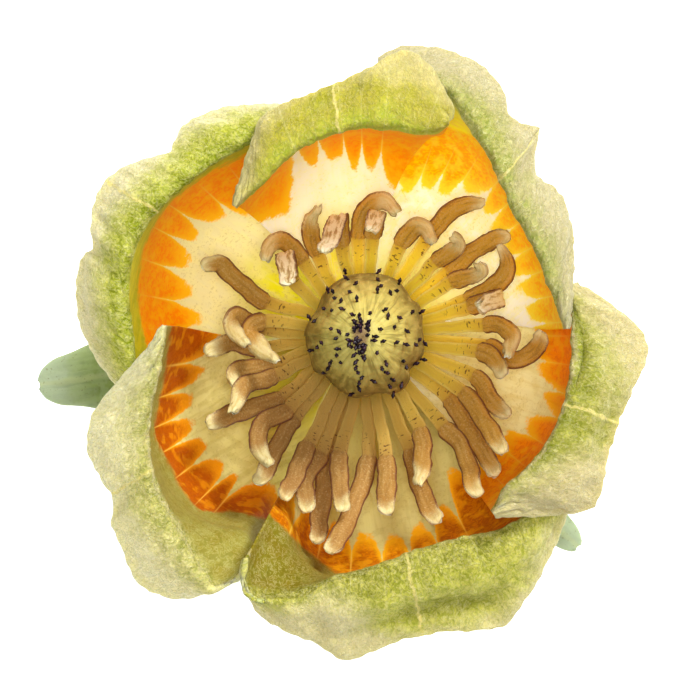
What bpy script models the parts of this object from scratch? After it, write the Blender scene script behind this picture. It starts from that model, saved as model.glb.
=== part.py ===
"""Tulip tree flower, picked, standing on its cut stalk and three turned-down sepals.

Run it with: blender --background --python part.py
Units are metres, +Z is up and the flower looks straight up. Sizes below are in millimetres and
are turned into metres by MM. Azimuths are degrees anticlockwise from +X, seen from above.
"""

import math

import bmesh
import bpy
from mathutils import Matrix, Vector

MM = 0.001

# Where the flower's own axis stands, so that the origin is at the middle of its footprint.
AXIS_X, AXIS_Y = 2.0, 1.4

# Heights above the ground.
SEPAL_Z, PETAL_Z, PISTIL_Z = 11.0, 12.8, 20.1

# Stalk and receptacle, (radius, height) up its side.
STALK_PROFILE = (
    (2.1, 0.0), (2.2, 4.0), (2.3, 7.6), (2.8, 9.2), (3.6, 10.4), (3.7, 15.0), (3.5, 19.7),
)
STALK_SIDES = 20

# Cone of fused carpels, (radius, height over its foot).
PISTIL_PROFILE = (
    (3.2, 0.0), (4.7, 2.2), (5.7, 5.5), (6.1, 9.5), (6.0, 13.0), (5.4, 16.5), (4.2, 19.6),
    (2.4, 21.9), (0.9, 22.9),
)
PISTIL_SIDES = 24

# Petals. A petal runs from its foot over a level floor and up a wall to its belly, then over its crest.
PETAL_THICK = 0.7
PETAL_FOOT_R = 4.15
PETAL_FOOT_SHARE = 0.6  # of its full spread of azimuths, at the foot
PETAL_FULL_AT = 0.4  # share of its length where it reaches its full spread
FOOT_STEP = 0.4  # each petal is set this much higher up the receptacle than the next one out
PETAL_ACROSS, PETAL_ALONG = 14, 15
LAYER_OUT, LAYER_DOWN = 0.7, 0.4  # how far an edge that lies behind its neighbour stands off
LAYER_FROM, LAYER_LOW_END = 0.12, 0.5  # shares of the length between which the edges part in height
LAYER_FADES, LAYER_ENDS = 0.6, 0.75  # shares of the length over which the outward part fades away
PETAL_FLOOR = (7.6, 0.1)  # radius and height over the foot where its level floor ends
PETAL_WALL = ((0.55, 1.9), (0.78, 5.7))  # (share of the belly, height over the foot)
PETAL_SIDE = ((0.92, 25.0), (0.985, 31.0), (1.0, 37.0))  # (share of the belly, height)

# Each petal, from the innermost out: rim stations (azimuth, belly, crest and margin radius, crest
# height, margin height), from its anticlockwise end. "front" says which ends lie inside the neighbour's.
PETALS = {
    "petal_top": {
        "front": (1, 1),
        "rim": (
            (135, 19.0, 18.2, 18.5, 47.2, 46.8),
            (128, 19.2, 18.4, 20.3, 47.6, 46.2),
            (121, 19.6, 18.6, 22.0, 48.0, 45.6),
            (114, 20.3, 19.3, 24.4, 48.2, 44.8),
            (105, 21.0, 20.0, 24.8, 48.4, 45.2),
            (96, 21.6, 20.7, 25.3, 48.5, 45.4),
            (88, 21.8, 20.9, 26.8, 48.6, 44.7),
            (81, 21.8, 20.9, 29.0, 48.6, 43.3),
            (75, 21.9, 20.9, 27.4, 48.5, 44.2),
            (70, 22.0, 21.2, 25.2, 48.3, 45.6),
            (66, 22.3, 22.4, 23.2, 48.0, 47.5),
        ),
    },
    "petal_upper_right": {
        "front": (0, 1),
        "rim": (
            (87, 24.4, 23.6, 27.8, 43.4, 40.5),
            (81, 24.3, 23.5, 29.5, 43.8, 39.8),
            (74, 24.0, 23.2, 29.6, 44.3, 40.1),
            (67, 23.7, 22.9, 29.0, 44.9, 40.9),
            (59, 23.1, 22.2, 26.7, 45.5, 42.5),
            (50, 21.6, 20.6, 27.3, 46.1, 41.7),
            (42, 20.8, 19.8, 23.8, 46.5, 43.8),
            (33, 20.3, 19.3, 24.2, 46.8, 43.5),
            (24, 20.0, 19.1, 22.9, 47.0, 44.4),
            (12, 20.2, 19.4, 21.2, 47.0, 45.6),
            (2, 20.4, 20.0, 20.5, 46.8, 46.3),
        ),
    },
    "petal_right": {
        "front": (0, 1),
        "rim": (
            (14, 23.0, 22.2, 22.7, 44.0, 43.5),
            (8, 22.7, 21.9, 24.4, 44.6, 42.8),
            (3, 22.4, 21.6, 26.2, 45.1, 42.0),
            (-2, 22.1, 21.3, 28.5, 45.6, 40.9),
            (-11, 22.0, 21.1, 27.6, 46.4, 42.1),
            (-22, 22.1, 21.2, 27.2, 47.0, 43.0),
            (-32, 21.9, 21.0, 28.5, 47.5, 42.6),
            (-37, 21.8, 20.9, 28.7, 47.8, 42.7),
            (-43, 21.8, 20.9, 26.4, 48.0, 44.3),
            (-49, 21.9, 21.1, 23.8, 48.0, 46.1),
            (-54, 22.0, 21.8, 22.3, 48.0, 47.5),
        ),
    },
    "petal_bottom": {
        "front": (0, 1),
        "rim": (
            (-37, 24.9, 24.4, 26.2, 42.8, 41.4),
            (-43, 24.9, 24.4, 27.4, 43.2, 41.1),
            (-50, 24.7, 24.1, 28.7, 43.7, 40.6),
            (-57, 24.3, 23.4, 30.6, 44.2, 39.5),
            (-63, 24.0, 22.6, 32.0, 44.7, 38.6),
            (-71, 23.7, 22.1, 30.8, 45.3, 39.7),
            (-79, 23.7, 22.3, 30.2, 45.8, 40.7),
            (-87, 24.0, 22.9, 30.9, 46.1, 40.9),
            (-93, 24.4, 24.0, 32.0, 46.3, 41.1),
            (-99, 24.7, 25.2, 30.5, 46.5, 43.0),
            (-106, 23.6, 26.2, 29.2, 46.6, 44.5),
            (-113, 20.8, 24.8, 27.4, 46.8, 44.9),
            (-118, 20.1, 22.2, 24.2, 47.0, 45.5),
        ),
    },
    "petal_lower_left": {
        "front": (0, 1),
        "rim": (
            (249, 23.2, 23.6, 24.0, 41.6, 41.1),
            (244, 23.6, 25.2, 26.2, 42.2, 41.3),
            (239, 23.0, 26.6, 30.4, 42.8, 40.2),
            (232, 24.2, 26.8, 32.7, 43.4, 39.5),
            (226, 24.8, 26.2, 33.0, 44.0, 39.5),
            (219, 25.0, 25.4, 31.6, 44.8, 40.7),
            (212, 24.8, 24.6, 29.3, 45.4, 42.2),
            (206, 24.4, 23.7, 30.0, 45.8, 41.6),
            (200, 23.6, 22.7, 29.4, 46.3, 41.9),
            (194, 22.6, 21.6, 26.6, 46.8, 43.4),
            (187, 21.4, 20.7, 22.9, 47.1, 45.5),
            (177, 20.6, 19.9, 20.3, 47.2, 46.7),
        ),
    },
    "petal_upper_left": {
        "front": (0, 0),
        "rim": (
            (193, 23.9, 23.2, 24.6, 42.4, 41.3),
            (186, 23.8, 23.0, 26.0, 43.0, 40.9),
            (178, 24.0, 23.2, 27.6, 43.8, 40.8),
            (171, 24.3, 23.4, 29.1, 44.6, 40.8),
            (163, 24.7, 23.8, 28.9, 45.4, 42.0),
            (156, 25.0, 24.0, 29.9, 45.8, 41.9),
            (148, 25.0, 24.0, 29.5, 46.0, 42.3),
            (139, 24.6, 23.6, 26.8, 45.6, 43.4),
            (132, 24.0, 23.0, 27.0, 45.0, 42.3),
            (124, 23.4, 22.6, 26.6, 44.4, 41.7),
            (115, 23.2, 22.5, 25.6, 43.6, 41.4),
            (107, 23.2, 22.6, 24.2, 43.0, 41.8),
        ),
    },
}

# Sepals. Each one: azimuth, reach of the tip, and its half width near the tip.
SEPALS = {
    "sepal_left": (188.5, 32.6, 2.6),
    "sepal_right": (316.6, 30.0, 1.9),
    "sepal_back": (68.0, 27.0, 2.4),
}
SEPAL_THICK = 1.0
SEPAL_ROOT_R = 4.2
SEPAL_ARCH = ((0.26, 0.3), (0.46, -0.6), (0.64, -3.4), (0.80, -7.1))  # (share of reach, over the root)
SEPAL_TIP = ((0.92, 1.9), (1.0, 0.7))  # (share of reach, height)
SEPAL_HALF_WIDTHS = (2.6, 5.4, 6.3, 5.6)  # from the root, evenly spaced
SEPAL_TIP_WIDTHS = (1.45, 1.0, 0.45)  # the rest of them, as shares of the half width near the tip
SEPAL_WRAP = 1.2  # radians of arc that its cross-section bends through on each side
SEPAL_ACROSS, SEPAL_ALONG = 8, 14

# Stamens: three tiers up the receptacle, each with its own foot height and slope.
TIER_Z = (16.0, 17.4, 18.8)
TIER_SLOPE = (0.66, 0.78, 0.90)
UPWARD_BEND = 0.012  # per mm, how each one steepens as it runs out
FOLD_RISE = 2.1  # height that a tip gains where it folds back over itself
STAMEN_FOOT_R = 4.05
FILAMENT_WIDTH, ANTHER_WIDTH = 1.3, 2.1
FOOT_WIDTH = 0.9
STAMEN_THICK = 0.75
STAMEN_RINGS = 13
SHOULDER = 0.08  # share of the anther's length over which the filament widens into it
TIP_TAPER = 0.55  # share of the anther's width that is gone at its tip

# Each stamen: tier, number of the point where it folds back (0 for none), then its line from above
# as (azimuth, radius). The second point is where the filament ends and the anther begins.
STAMENS = (
    (2, 0, ((6, 6.0), (5.5, 12.2), (3.0, 14.3), (359, 14.9), (352, 14.3))),
    (1, 3, ((14, 6.0), (15.5, 11.0), (15.5, 14.3), (15.6, 11.7))),
    (0, 0, ((19, 6.0), (19.5, 11.5), (20, 14.4), (25, 16.3), (34, 16.8))),
    (1, 0, ((30, 6.0), (31.5, 10.4), (29, 13.4), (32.5, 13.8))),
    (0, 0, ((38, 6.0), (37.5, 10.8), (38, 14.4), (36, 18.0))),
    (2, 0, ((46, 6.0), (46, 10.4), (44, 13.2), (47.5, 13.9))),
    (0, 0, ((59, 6.0), (56.5, 11.6), (55.5, 15.2), (49, 18.4))),
    (1, 0, ((68, 6.0), (67.5, 9.9), (65, 12.0), (60, 12.4), (53.5, 11.4))),
    (2, 3, ((84, 6.0), (85, 10.0), (84, 12.4), (85.5, 10.5))),
    (1, 0, ((95, 6.0), (93, 10.2), (90, 13.2), (82, 14.3), (73.5, 13.6))),
    (2, 3, ((104, 6.0), (104, 9.4), (102, 12.2), (114.5, 9.1))),
    (0, 0, ((122, 6.0), (119.5, 9.5), (116.5, 12.2), (110.5, 14.2))),
    (1, 0, ((133, 6.0), (129, 9.8), (129.5, 12.4), (136, 13.1), (142.5, 12.4))),
    (2, 3, ((146, 6.0), (141, 9.2), (134, 11.4), (144.5, 8.9))),
    (0, 0, ((157, 6.0), (161, 10.4), (156, 13.8), (153.5, 16.4), (158, 17.4))),
    (2, 0, ((170, 6.0), (171, 10.2), (177, 11.6), (187, 10.6), (196, 9.4))),
    (1, 0, ((178, 6.0), (176, 10.2), (170.5, 13.0), (176, 13.4), (184.5, 12.0))),
    (0, 0, ((186, 6.0), (186, 10.8), (182.5, 13.6), (187.5, 15.9))),
    (1, 0, ((194, 6.0), (198, 9.8), (195, 13.4), (200, 14.6))),
    (2, 0, ((203, 6.0), (204, 9.8), (203, 13.0), (210.5, 15.2))),
    (0, 0, ((212, 6.0), (217, 10.4), (211, 14.6), (209.5, 18.2))),
    (2, 0, ((221, 6.0), (224, 10.6), (220.5, 13.2), (226, 15.2), (234, 16.2))),
    (1, 0, ((230, 6.0), (230, 10.8), (232, 14.4), (235, 18.4))),
    (2, 0, ((241, 6.0), (243, 12.2), (244, 16.0), (242.5, 18.3))),
    (1, 0, ((250, 6.0), (249.5, 12.6), (247.5, 15.4), (252.5, 18.6))),
    (0, 0, ((256, 6.0), (254, 11.6), (255.5, 17.0), (257.7, 21.4))),
    (2, 0, ((262, 6.0), (258.5, 12.0), (261, 15.0), (262, 17.8))),
    (1, 0, ((272, 6.0), (272, 12.2), (266.5, 17.0), (261.5, 22.2))),
    (2, 0, ((281, 6.0), (280.5, 12.4), (278.5, 15.4), (276.6, 18.1))),
    (0, 0, ((292, 6.0), (292, 12.4), (290.5, 16.2), (291.3, 20.3))),
    (2, 0, ((303, 6.0), (301, 11.0), (295, 13.8), (291, 16.0))),
    (1, 0, ((312, 6.0), (311.5, 12.2), (310.5, 15.6), (304.3, 19.7))),
    (0, 0, ((324, 6.0), (323.4, 10.6), (317.5, 15.0), (314, 19.5))),
    (2, 0, ((333, 6.0), (330.5, 11.4), (325, 14.6), (320.5, 18.4))),
    (1, 0, ((342, 6.0), (340, 11.8), (334, 14.2), (329.8, 16.6))),
    (2, 0, ((350, 6.0), (352.5, 11.6), (348.5, 13.6), (345, 14.9))),
    (0, 0, ((357, 6.0), (355, 12.4), (350.8, 15.2), (355, 17.2), (361, 18.3))),
)


def clear_scene():
    """Removes whatever the file opened with."""
    for found in list(bpy.data.objects):
        bpy.data.objects.remove(found)


def make_material(name, colour, roughness):
    """A Principled material of one colour."""
    made = bpy.data.materials.new(name)
    made.use_nodes = True
    shader = made.node_tree.nodes["Principled BSDF"]
    shader.inputs["Base Color"].default_value = (*colour, 1.0)
    shader.inputs["Roughness"].default_value = roughness
    shader.inputs["Metallic"].default_value = 0.0
    made.diffuse_color = (*colour, 1.0)
    return made


def along(points, share):
    """The point at share, 0 to 1, of a smooth curve through points, which are tuples of numbers."""
    place = min(max(share, 0.0), 1.0) * (len(points) - 1)
    number = min(int(place), len(points) - 2)
    t = place - number
    before = points[max(number - 1, 0)]
    here, there = points[number], points[number + 1]
    after = points[min(number + 2, len(points) - 1)]
    return tuple(
        0.5 * (2 * b + (c - a) * t + (2 * a - 5 * b + 4 * c - d) * t**2 + (3 * b - a - 3 * c + d) * t**3)
        for a, b, c, d in zip(before, here, there, after)
    )


def from_axis(azimuth, radius, height):
    """A place in metres, from an azimuth in degrees and a radius and a height in millimetres."""
    turn = math.radians(azimuth)
    x = AXIS_X + radius * math.cos(turn)
    y = AXIS_Y + radius * math.sin(turn)
    return Vector((x, y, height)) * MM


def finish(mesh_data, name, material, thickness=0.0):
    """Turns a bmesh into a named object, and gives a sheet its thickness."""
    mesh = bpy.data.meshes.new(name)
    mesh_data.to_mesh(mesh)
    mesh_data.free()
    mesh.materials.append(material)
    mesh.shade_smooth()
    made = bpy.data.objects.new(name, mesh)
    bpy.context.scene.collection.objects.link(made)
    if thickness:
        wall = made.modifiers.new("Thickness", "SOLIDIFY")
        wall.thickness = thickness * MM
        wall.offset = 0.0
    return made


def shaped_grid(across, length, place):
    """A grid of faces whose corner at shares (u, v), each 0 to 1, is moved to place(u, v)."""
    sheet = bmesh.new()
    bmesh.ops.create_grid(sheet, x_segments=across, y_segments=length, size=0.5)
    for corner in sheet.verts:
        corner.co = place(corner.co.x + 0.5, corner.co.y + 0.5)
    bmesh.ops.recalc_face_normals(sheet, faces=sheet.faces)
    return sheet


def petal_profile(foot_z, belly, crest, margin, crest_z, margin_z):
    """(radius, height) of a petal from its foot, up its wall, over its crest and down to its margin."""
    flap = margin - crest
    belly_z = PETAL_SIDE[-1][1]
    return (
        (PETAL_FOOT_R, foot_z),
        (PETAL_FLOOR[0], foot_z + PETAL_FLOOR[1]),
        *((share * belly, foot_z + over) for share, over in PETAL_WALL),
        *((share * belly, height) for share, height in PETAL_SIDE),
        (0.5 * (belly + crest), 0.5 * (belly_z + crest_z) + 0.6),
        (crest, crest_z - 1.0),
        (crest + 0.18 * flap, crest_z),
        (crest + 0.55 * flap, 0.62 * crest_z + 0.38 * margin_z + 0.2),
        (margin, margin_z),
    )


def fade(place, start, end):
    """1 up to start, 0 from end on, and a straight line between."""
    return min(max((end - place) / (end - start), 0.0), 1.0)


def petal_place(foot_z, rim, front, across, length):
    """The place on a petal's middle surface at shares (across, length) of its width and length."""
    azimuth, *sizes = along(rim, across)
    radius, height = along(petal_profile(foot_z, *sizes), length)
    middle = 0.5 * (rim[0][0] + rim[-1][0])
    open_share = math.sin(0.5 * math.pi * min(length / PETAL_FULL_AT, 1.0))
    spread = PETAL_FOOT_SHARE + (1.0 - PETAL_FOOT_SHARE) * open_share
    # An end that lies behind its neighbour stands outside it on the lower wall, and a front end inside.
    side = 2.0 * across - 1.0
    in_front = front[0] if side < 0 else front[1]
    layer = (-1.0 if in_front else 1.0) * side * side * min(length / LAYER_FROM, 1.0)
    radius += LAYER_OUT * layer * fade(length, LAYER_FADES, LAYER_ENDS)
    height -= LAYER_DOWN * layer * fade(length, 0.0, LAYER_LOW_END)
    return from_axis(middle + (azimuth - middle) * spread, radius, height)


def build_petal(name, petal, foot_z, material):
    """One petal: a sheet that cups up from the receptacle and turns out over its crest."""
    sheet = shaped_grid(
        PETAL_ACROSS, PETAL_ALONG, lambda u, v: petal_place(foot_z, petal["rim"], petal["front"], u, v)
    )
    return finish(sheet, name, material, PETAL_THICK)


def sepal_place(azimuth, reach, tip_half, across, length):
    """The place on a sepal's middle surface: it arches out and down until its margins meet the ground."""
    line = (
        (SEPAL_ROOT_R, SEPAL_Z),
        *((share * reach, SEPAL_Z + over) for share, over in SEPAL_ARCH),
        *((share * reach, height) for share, height in SEPAL_TIP),
    )
    widths = (*SEPAL_HALF_WIDTHS, *(share * tip_half for share in SEPAL_TIP_WIDTHS))
    radius, height = along(line, length)
    (half,) = along([(width,) for width in widths], length)
    side = 2.0 * across - 1.0
    # The margins curl down, and more so towards the tip, where they reach the ground.
    curl = 0.2 + 0.5 * length
    radius -= 0.2 * half * side * side
    height -= curl * half * side * side * (0.6 + 0.8 * max(length - 0.5, 0.0))
    offset = half * math.sin(side * SEPAL_WRAP) / math.sin(SEPAL_WRAP)
    swing = math.degrees(math.atan2(offset, radius))
    lowest = 0.5 * SEPAL_THICK
    return from_axis(azimuth + swing, math.hypot(radius, offset), max(height, lowest))


def build_sepal(name, sepal, material):
    """One sepal, turned down to the ground."""
    sheet = shaped_grid(SEPAL_ACROSS, SEPAL_ALONG, lambda u, v: sepal_place(*sepal, u, v))
    return finish(sheet, name, material, SEPAL_THICK)


def stamen_line(tier, fold, plan):
    """A stamen's centre line, as points in metres: out from the receptacle and steadily up."""
    points = [from_axis(plan[0][0], STAMEN_FOOT_R, TIER_Z[tier])]
    run = 0.0
    for number, (azimuth, radius) in enumerate(plan):
        place = from_axis(azimuth, radius, 0.0)
        run += (place.xy - points[-1].xy).length / MM
        height = TIER_Z[tier] + TIER_SLOPE[tier] * run + UPWARD_BEND * run * run
        if fold and number >= fold:
            height += FOLD_RISE
        points.append(place + Vector((0.0, 0.0, height * MM)))
    return points


def carried_frames(points, side):
    """(point, side, tangent) along a line, with the side direction carried along without twisting."""
    frames = []
    for number, point in enumerate(points):
        before, after = points[max(number - 1, 0)], points[min(number + 1, len(points) - 1)]
        tangent = (after - before).normalized()
        side = (side - tangent * side.dot(tangent)).normalized()
        frames.append((point, side, tangent))
    return frames


def stamen_half_width(share, joint):
    """Half the width, in metres, at a share of the stamen's length. joint is the anther's start."""
    if share < joint:
        full = FOOT_WIDTH + (FILAMENT_WIDTH - FOOT_WIDTH) * share / joint
    else:
        on_anther = (share - joint) / (1.0 - joint)
        full = ANTHER_WIDTH * (1.0 - TIP_TAPER * on_anther**5)
        full = FILAMENT_WIDTH + (full - FILAMENT_WIDTH) * min(on_anther / SHOULDER, 1.0)
    return 0.5 * full * MM


def build_stamen(name, stamen, material):
    """One stamen: a narrow filament that widens into a flat strap-like anther."""
    tier, fold, plan = stamen
    line = stamen_line(tier, fold, plan)
    points = [Vector(along(line, number / (STAMEN_RINGS - 1))) for number in range(STAMEN_RINGS)]
    joint = 2.0 / (len(line) - 1)
    azimuth = math.radians(plan[0][0] + 90.0)
    frames = carried_frames(points, Vector((math.cos(azimuth), math.sin(azimuth), 0.0)))

    def place(across, length):
        number = round(length * (STAMEN_RINGS - 1))
        point, side, _ = frames[number]
        return point + side * (2.0 * across - 1.0) * stamen_half_width(length, joint)

    strap = shaped_grid(1, STAMEN_RINGS - 1, place)
    return finish(strap, name, material, STAMEN_THICK)


def turned(name, profile, sides, foot_z, material):
    """A closed solid turned about the flower's axis from (radius, height) pairs."""
    solid = bmesh.new()
    outline = [solid.verts.new((0.0, 0.0, profile[0][1] * MM))]
    outline += [solid.verts.new((radius * MM, 0.0, height * MM)) for radius, height in profile]
    outline.append(solid.verts.new((0.0, 0.0, profile[-1][1] * MM)))
    edges = [solid.edges.new(pair) for pair in zip(outline, outline[1:])]
    turn = {"cent": (0, 0, 0), "axis": (0, 0, 1), "angle": 2 * math.pi}
    bmesh.ops.spin(solid, geom=outline + edges, steps=sides, use_merge=True, **turn)
    bmesh.ops.remove_doubles(solid, verts=solid.verts, dist=0.01 * MM)
    bmesh.ops.recalc_face_normals(solid, faces=solid.faces)
    bmesh.ops.translate(solid, verts=solid.verts, vec=from_axis(0.0, 0.0, foot_z))
    return finish(solid, name, material)


def main():
    clear_scene()
    petal = make_material("petal", (0.85, 0.62, 0.16), 0.5)
    sepal = make_material("sepal", (0.42, 0.55, 0.34), 0.55)
    stamen = make_material("stamen", (0.62, 0.42, 0.17), 0.6)
    pistil = make_material("pistil", (0.42, 0.40, 0.14), 0.5)
    stalk = make_material("stalk", (0.33, 0.42, 0.18), 0.6)

    turned("stalk", STALK_PROFILE, STALK_SIDES, 0.0, stalk)
    turned("pistil", PISTIL_PROFILE, PISTIL_SIDES, PISTIL_Z, pistil)
    for name, shape in SEPALS.items():
        build_sepal(name, shape, sepal)
    for number, (name, shape) in enumerate(reversed(PETALS.items())):
        build_petal(name, shape, PETAL_Z + FOOT_STEP * number, petal)
    for number, shape in enumerate(STAMENS, start=1):
        build_stamen(f"stamen_{number:02d}", shape, stamen)


main()
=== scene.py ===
"""Tulip tree flower: petals, sepals, stamens, pistil and stalk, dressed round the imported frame.

Lengths in this file are millimetres, and MM turns them into metres. Azimuths are degrees
anticlockwise from +X, seen from above, about the flower's own axis.
"""

import logging
import math
from dataclasses import dataclass
from enum import Enum

import bmesh
import bpy
import numpy as np
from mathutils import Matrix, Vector, noise


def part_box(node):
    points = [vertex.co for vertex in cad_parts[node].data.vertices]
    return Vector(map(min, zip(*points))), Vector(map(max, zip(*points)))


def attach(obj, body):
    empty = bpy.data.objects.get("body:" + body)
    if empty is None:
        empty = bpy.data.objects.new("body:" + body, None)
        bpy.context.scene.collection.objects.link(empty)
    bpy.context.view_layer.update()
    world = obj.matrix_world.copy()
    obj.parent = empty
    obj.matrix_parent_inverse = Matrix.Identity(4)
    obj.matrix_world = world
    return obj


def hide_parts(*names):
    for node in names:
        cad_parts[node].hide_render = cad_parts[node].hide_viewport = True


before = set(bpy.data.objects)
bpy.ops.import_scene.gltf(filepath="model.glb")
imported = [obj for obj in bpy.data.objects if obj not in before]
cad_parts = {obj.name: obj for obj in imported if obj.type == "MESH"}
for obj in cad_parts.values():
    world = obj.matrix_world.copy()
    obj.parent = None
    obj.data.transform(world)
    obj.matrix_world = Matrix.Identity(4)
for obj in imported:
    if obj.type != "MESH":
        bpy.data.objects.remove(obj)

log = logging.getLogger("flower")
MM = 0.001
AXIS = Vector(sum(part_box("pistil"), Vector()) / 2)
CENTRE = np.array((AXIS.x, AXIS.y, 0.0)) / MM
TOUCH = 0.002 * MM  # corners nearer than this are one
BLACK = (0.0, 0.0, 0.0)
Colour = tuple[float, float, float]
Table = tuple[tuple[float, ...], ...]


def paint(red: int, green: int, blue: int) -> Colour:
    """A colour mixed by its display values, 0 to 255, as the light values that shaders take."""
    return tuple(c / 12.92 if c <= 0.04045 else ((c + 0.055) / 1.055) ** 2.4
                 for c in (red / 255, green / 255, blue / 255))


def through(table: Table, places: np.ndarray) -> np.ndarray:
    """Reads a smooth curve, with no overshoot, through a table's rows.

    Args:
        table: rows of (station, value, ...), in any order of station.
        places: the stations that are asked for, in any shape.

    Returns:
        The values, with the shape of places and one last axis of columns.
    """
    rows = np.asarray(table, float)
    rows = rows[np.argsort(rows[:, 0])]
    x, y = rows[:, 0], rows[:, 1:]
    gap = np.diff(x)[:, None]
    slope = np.diff(y, axis=0) / gap
    tangent = np.zeros_like(y)
    tangent[0], tangent[-1] = slope[0], slope[-1]
    before, after = slope[:-1], slope[1:]
    both = before * after > 0
    tangent[1:-1][both] = 2 * before[both] * after[both] / (before[both] + after[both])
    place = np.clip(np.ravel(places), x[0], x[-1])
    at = np.clip(np.searchsorted(x, place, side="right") - 1, 0, len(x) - 2)
    t, step = ((place - x[at]) / gap[at, 0])[:, None], gap[at]
    found = ((1 + 2 * t) * (1 - t) ** 2 * y[at] + t * (1 - t) ** 2 * step * tangent[at]
             + t * t * (3 - 2 * t) * y[at + 1] + t * t * (t - 1) * step * tangent[at + 1])
    return found.reshape(*np.shape(places), -1)


def rounded(points: np.ndarray, share: np.ndarray) -> np.ndarray:
    """Reads a rounded line through evenly spaced points.

    Args:
        points: the line's points, one after another on the first axis.
        share: where to read it, 0 to 1. It has the shape of the points' middle axes.

    Returns:
        A point for each share.
    """
    place = np.clip(share, 0, 1) * (len(points) - 1)
    number = np.minimum(place.astype(int), len(points) - 2)
    t = (place - number)[..., None]

    def pick(step: int) -> np.ndarray:
        """The points that are this many steps on from each place."""
        at = np.clip(number + step, 0, len(points) - 1)
        return np.take_along_axis(points, at[None, ..., None], axis=0)[0]

    a, b, c, d = (pick(step) for step in (-1, 0, 1, 2))
    return 0.5 * (2 * b + (c - a) * t + (2 * a - 5 * b + 4 * c - d) * t**2
                  + (3 * b - a - 3 * c + d) * t**3)


def line_through(points: Table | np.ndarray, count: int) -> np.ndarray:
    """Reads a rounded line through points at this many evenly shared places, one row each."""
    line = np.asarray(points)[:, None, :].repeat(count, axis=1)
    return rounded(line, np.linspace(0, 1, count))


def step_up(value: np.ndarray, low: float, high: float) -> np.ndarray:
    """0 below low, 1 above high and a smooth rise between them."""
    t = np.clip((value - low) / (high - low), 0, 1)
    return t * t * (3 - 2 * t)


def grain(points: np.ndarray, size: float, octaves: float = 2.0) -> np.ndarray:
    """Smooth noise, about -1 to 1, at points in millimetres, with bumps about size across."""
    flat = points.reshape(-1, 3) / size
    found = [noise.fractal(Vector(p), 1.0, 2.0, octaves, noise_basis="PERLIN_ORIGINAL") for p in flat]
    return np.array(found).reshape(points.shape[:-1])


def gather(*values: np.ndarray | float) -> np.ndarray:
    """Points whose coordinates are these values, all of them taken to one shape."""
    return np.stack(np.broadcast_arrays(*values), axis=-1)


def around(azimuth: np.ndarray, radius: np.ndarray, height: np.ndarray) -> np.ndarray:
    """Points in millimetres, from azimuths in degrees and radii about the flower's axis."""
    turn = np.radians(azimuth)
    return gather(CENTRE[0] + radius * np.cos(turn), CENTRE[1] + radius * np.sin(turn), height)


def stand(name: str, data: bpy.types.ID) -> bpy.types.Object:
    """Adds an object to the scene, at the origin."""
    made = bpy.data.objects.new(name, data)
    bpy.context.scene.collection.objects.link(made)
    return made


def as_object(name: str, mesh: bmesh.types.BMesh, *materials: bpy.types.Material) -> bpy.types.Object:
    """Turns a mesh into a smooth object with these materials, and frees the mesh."""
    data = bpy.data.meshes.new(name)
    mesh.to_mesh(data)
    mesh.free()
    for material in materials:
        data.materials.append(material)
    data.shade_smooth()
    return stand(name, data)


def thicken(made: bpy.types.Object, thickness: float) -> bpy.types.Modifier:
    """Gives a sheet this many millimetres, half on each side."""
    wall = made.modifiers.new("Thickness", "SOLIDIFY")
    wall.thickness, wall.offset = thickness * MM, 0.0
    return wall


class Sheet:
    """A grid of faces, with rows along a piece and columns across it."""

    def __init__(self, across: int, along: int) -> None:
        """Makes the flat grid.

        Args:
            across: how many faces it has across.
            along: how many faces it has along.
        """
        self.mesh = bmesh.new()
        bmesh.ops.create_grid(self.mesh, x_segments=across, y_segments=along, size=0.5)
        flat = np.array([corner.co[:2] for corner in self.mesh.verts]) + 0.5
        self.order = np.lexsort((flat[:, 0].round(5), flat[:, 1].round(5)))
        self.u, self.v = flat[self.order].T.reshape(2, along + 1, across + 1)

    def place(self, points: np.ndarray) -> None:
        """Moves the corners to points in millimetres, one per row and column."""
        self.mesh.verts.ensure_lookup_table()
        for number, point in zip(self.order, points.reshape(-1, 3) * MM):
            self.mesh.verts[number].co = point

    def mark(self, name: str, *values: np.ndarray) -> None:
        """Keeps up to three numbers on each corner, under a name that materials read."""
        layer = self.mesh.verts.layers.float_vector.new(name)
        self.mesh.verts.ensure_lookup_table()
        full = [np.broadcast_to(value, self.u.shape).ravel() for value in values]
        full += [np.zeros(self.u.size)] * (3 - len(full))
        for number, row in zip(self.order, np.stack(full, axis=-1)):
            self.mesh.verts[number][layer] = Vector(row)

    def weld(self) -> None:
        """Joins corners that meet, which closes a tube and its ends."""
        bmesh.ops.remove_doubles(self.mesh, verts=self.mesh.verts, dist=TOUCH)
        bmesh.ops.recalc_face_normals(self.mesh, faces=self.mesh.faces)


def flesh(weight: float, reach: Colour, depth: float) -> dict[str, object]:
    """The sockets of light that soaks in, its reach for red, green and blue times depth millimetres."""
    return {"Subsurface_Weight": weight, "Subsurface_Radius": reach, "Subsurface_Scale": depth * MM}


def normals(points: np.ndarray) -> np.ndarray:
    """The unit normals of a grid of points, on the side that the grid's faces look to."""
    across, along = np.gradient(points, axis=1), np.gradient(points, axis=0)
    found = np.cross(across, along)
    return found / np.maximum(np.linalg.norm(found, axis=-1, keepdims=True), 1e-9)


def run_of(points: np.ndarray, axis: int) -> np.ndarray:
    """The length along a grid of points, in millimetres, from its first row or column."""
    steps = np.linalg.norm(np.diff(points, axis=axis), axis=-1)
    start = np.zeros_like(np.take(steps, [0], axis=axis))
    return np.cumsum(np.concatenate((start, steps), axis=axis), axis=axis)


def settle(made: bpy.types.Object, slot: str, *nodes: str) -> bpy.types.Object:
    """Rides a piece on the flower's body and hides the CAD nodes that it stands for."""
    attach(made, "root")
    if nodes:
        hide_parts(*nodes)
    log.info("%s: %d corners", made.name, len(made.data.vertices))
    return made


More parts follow.
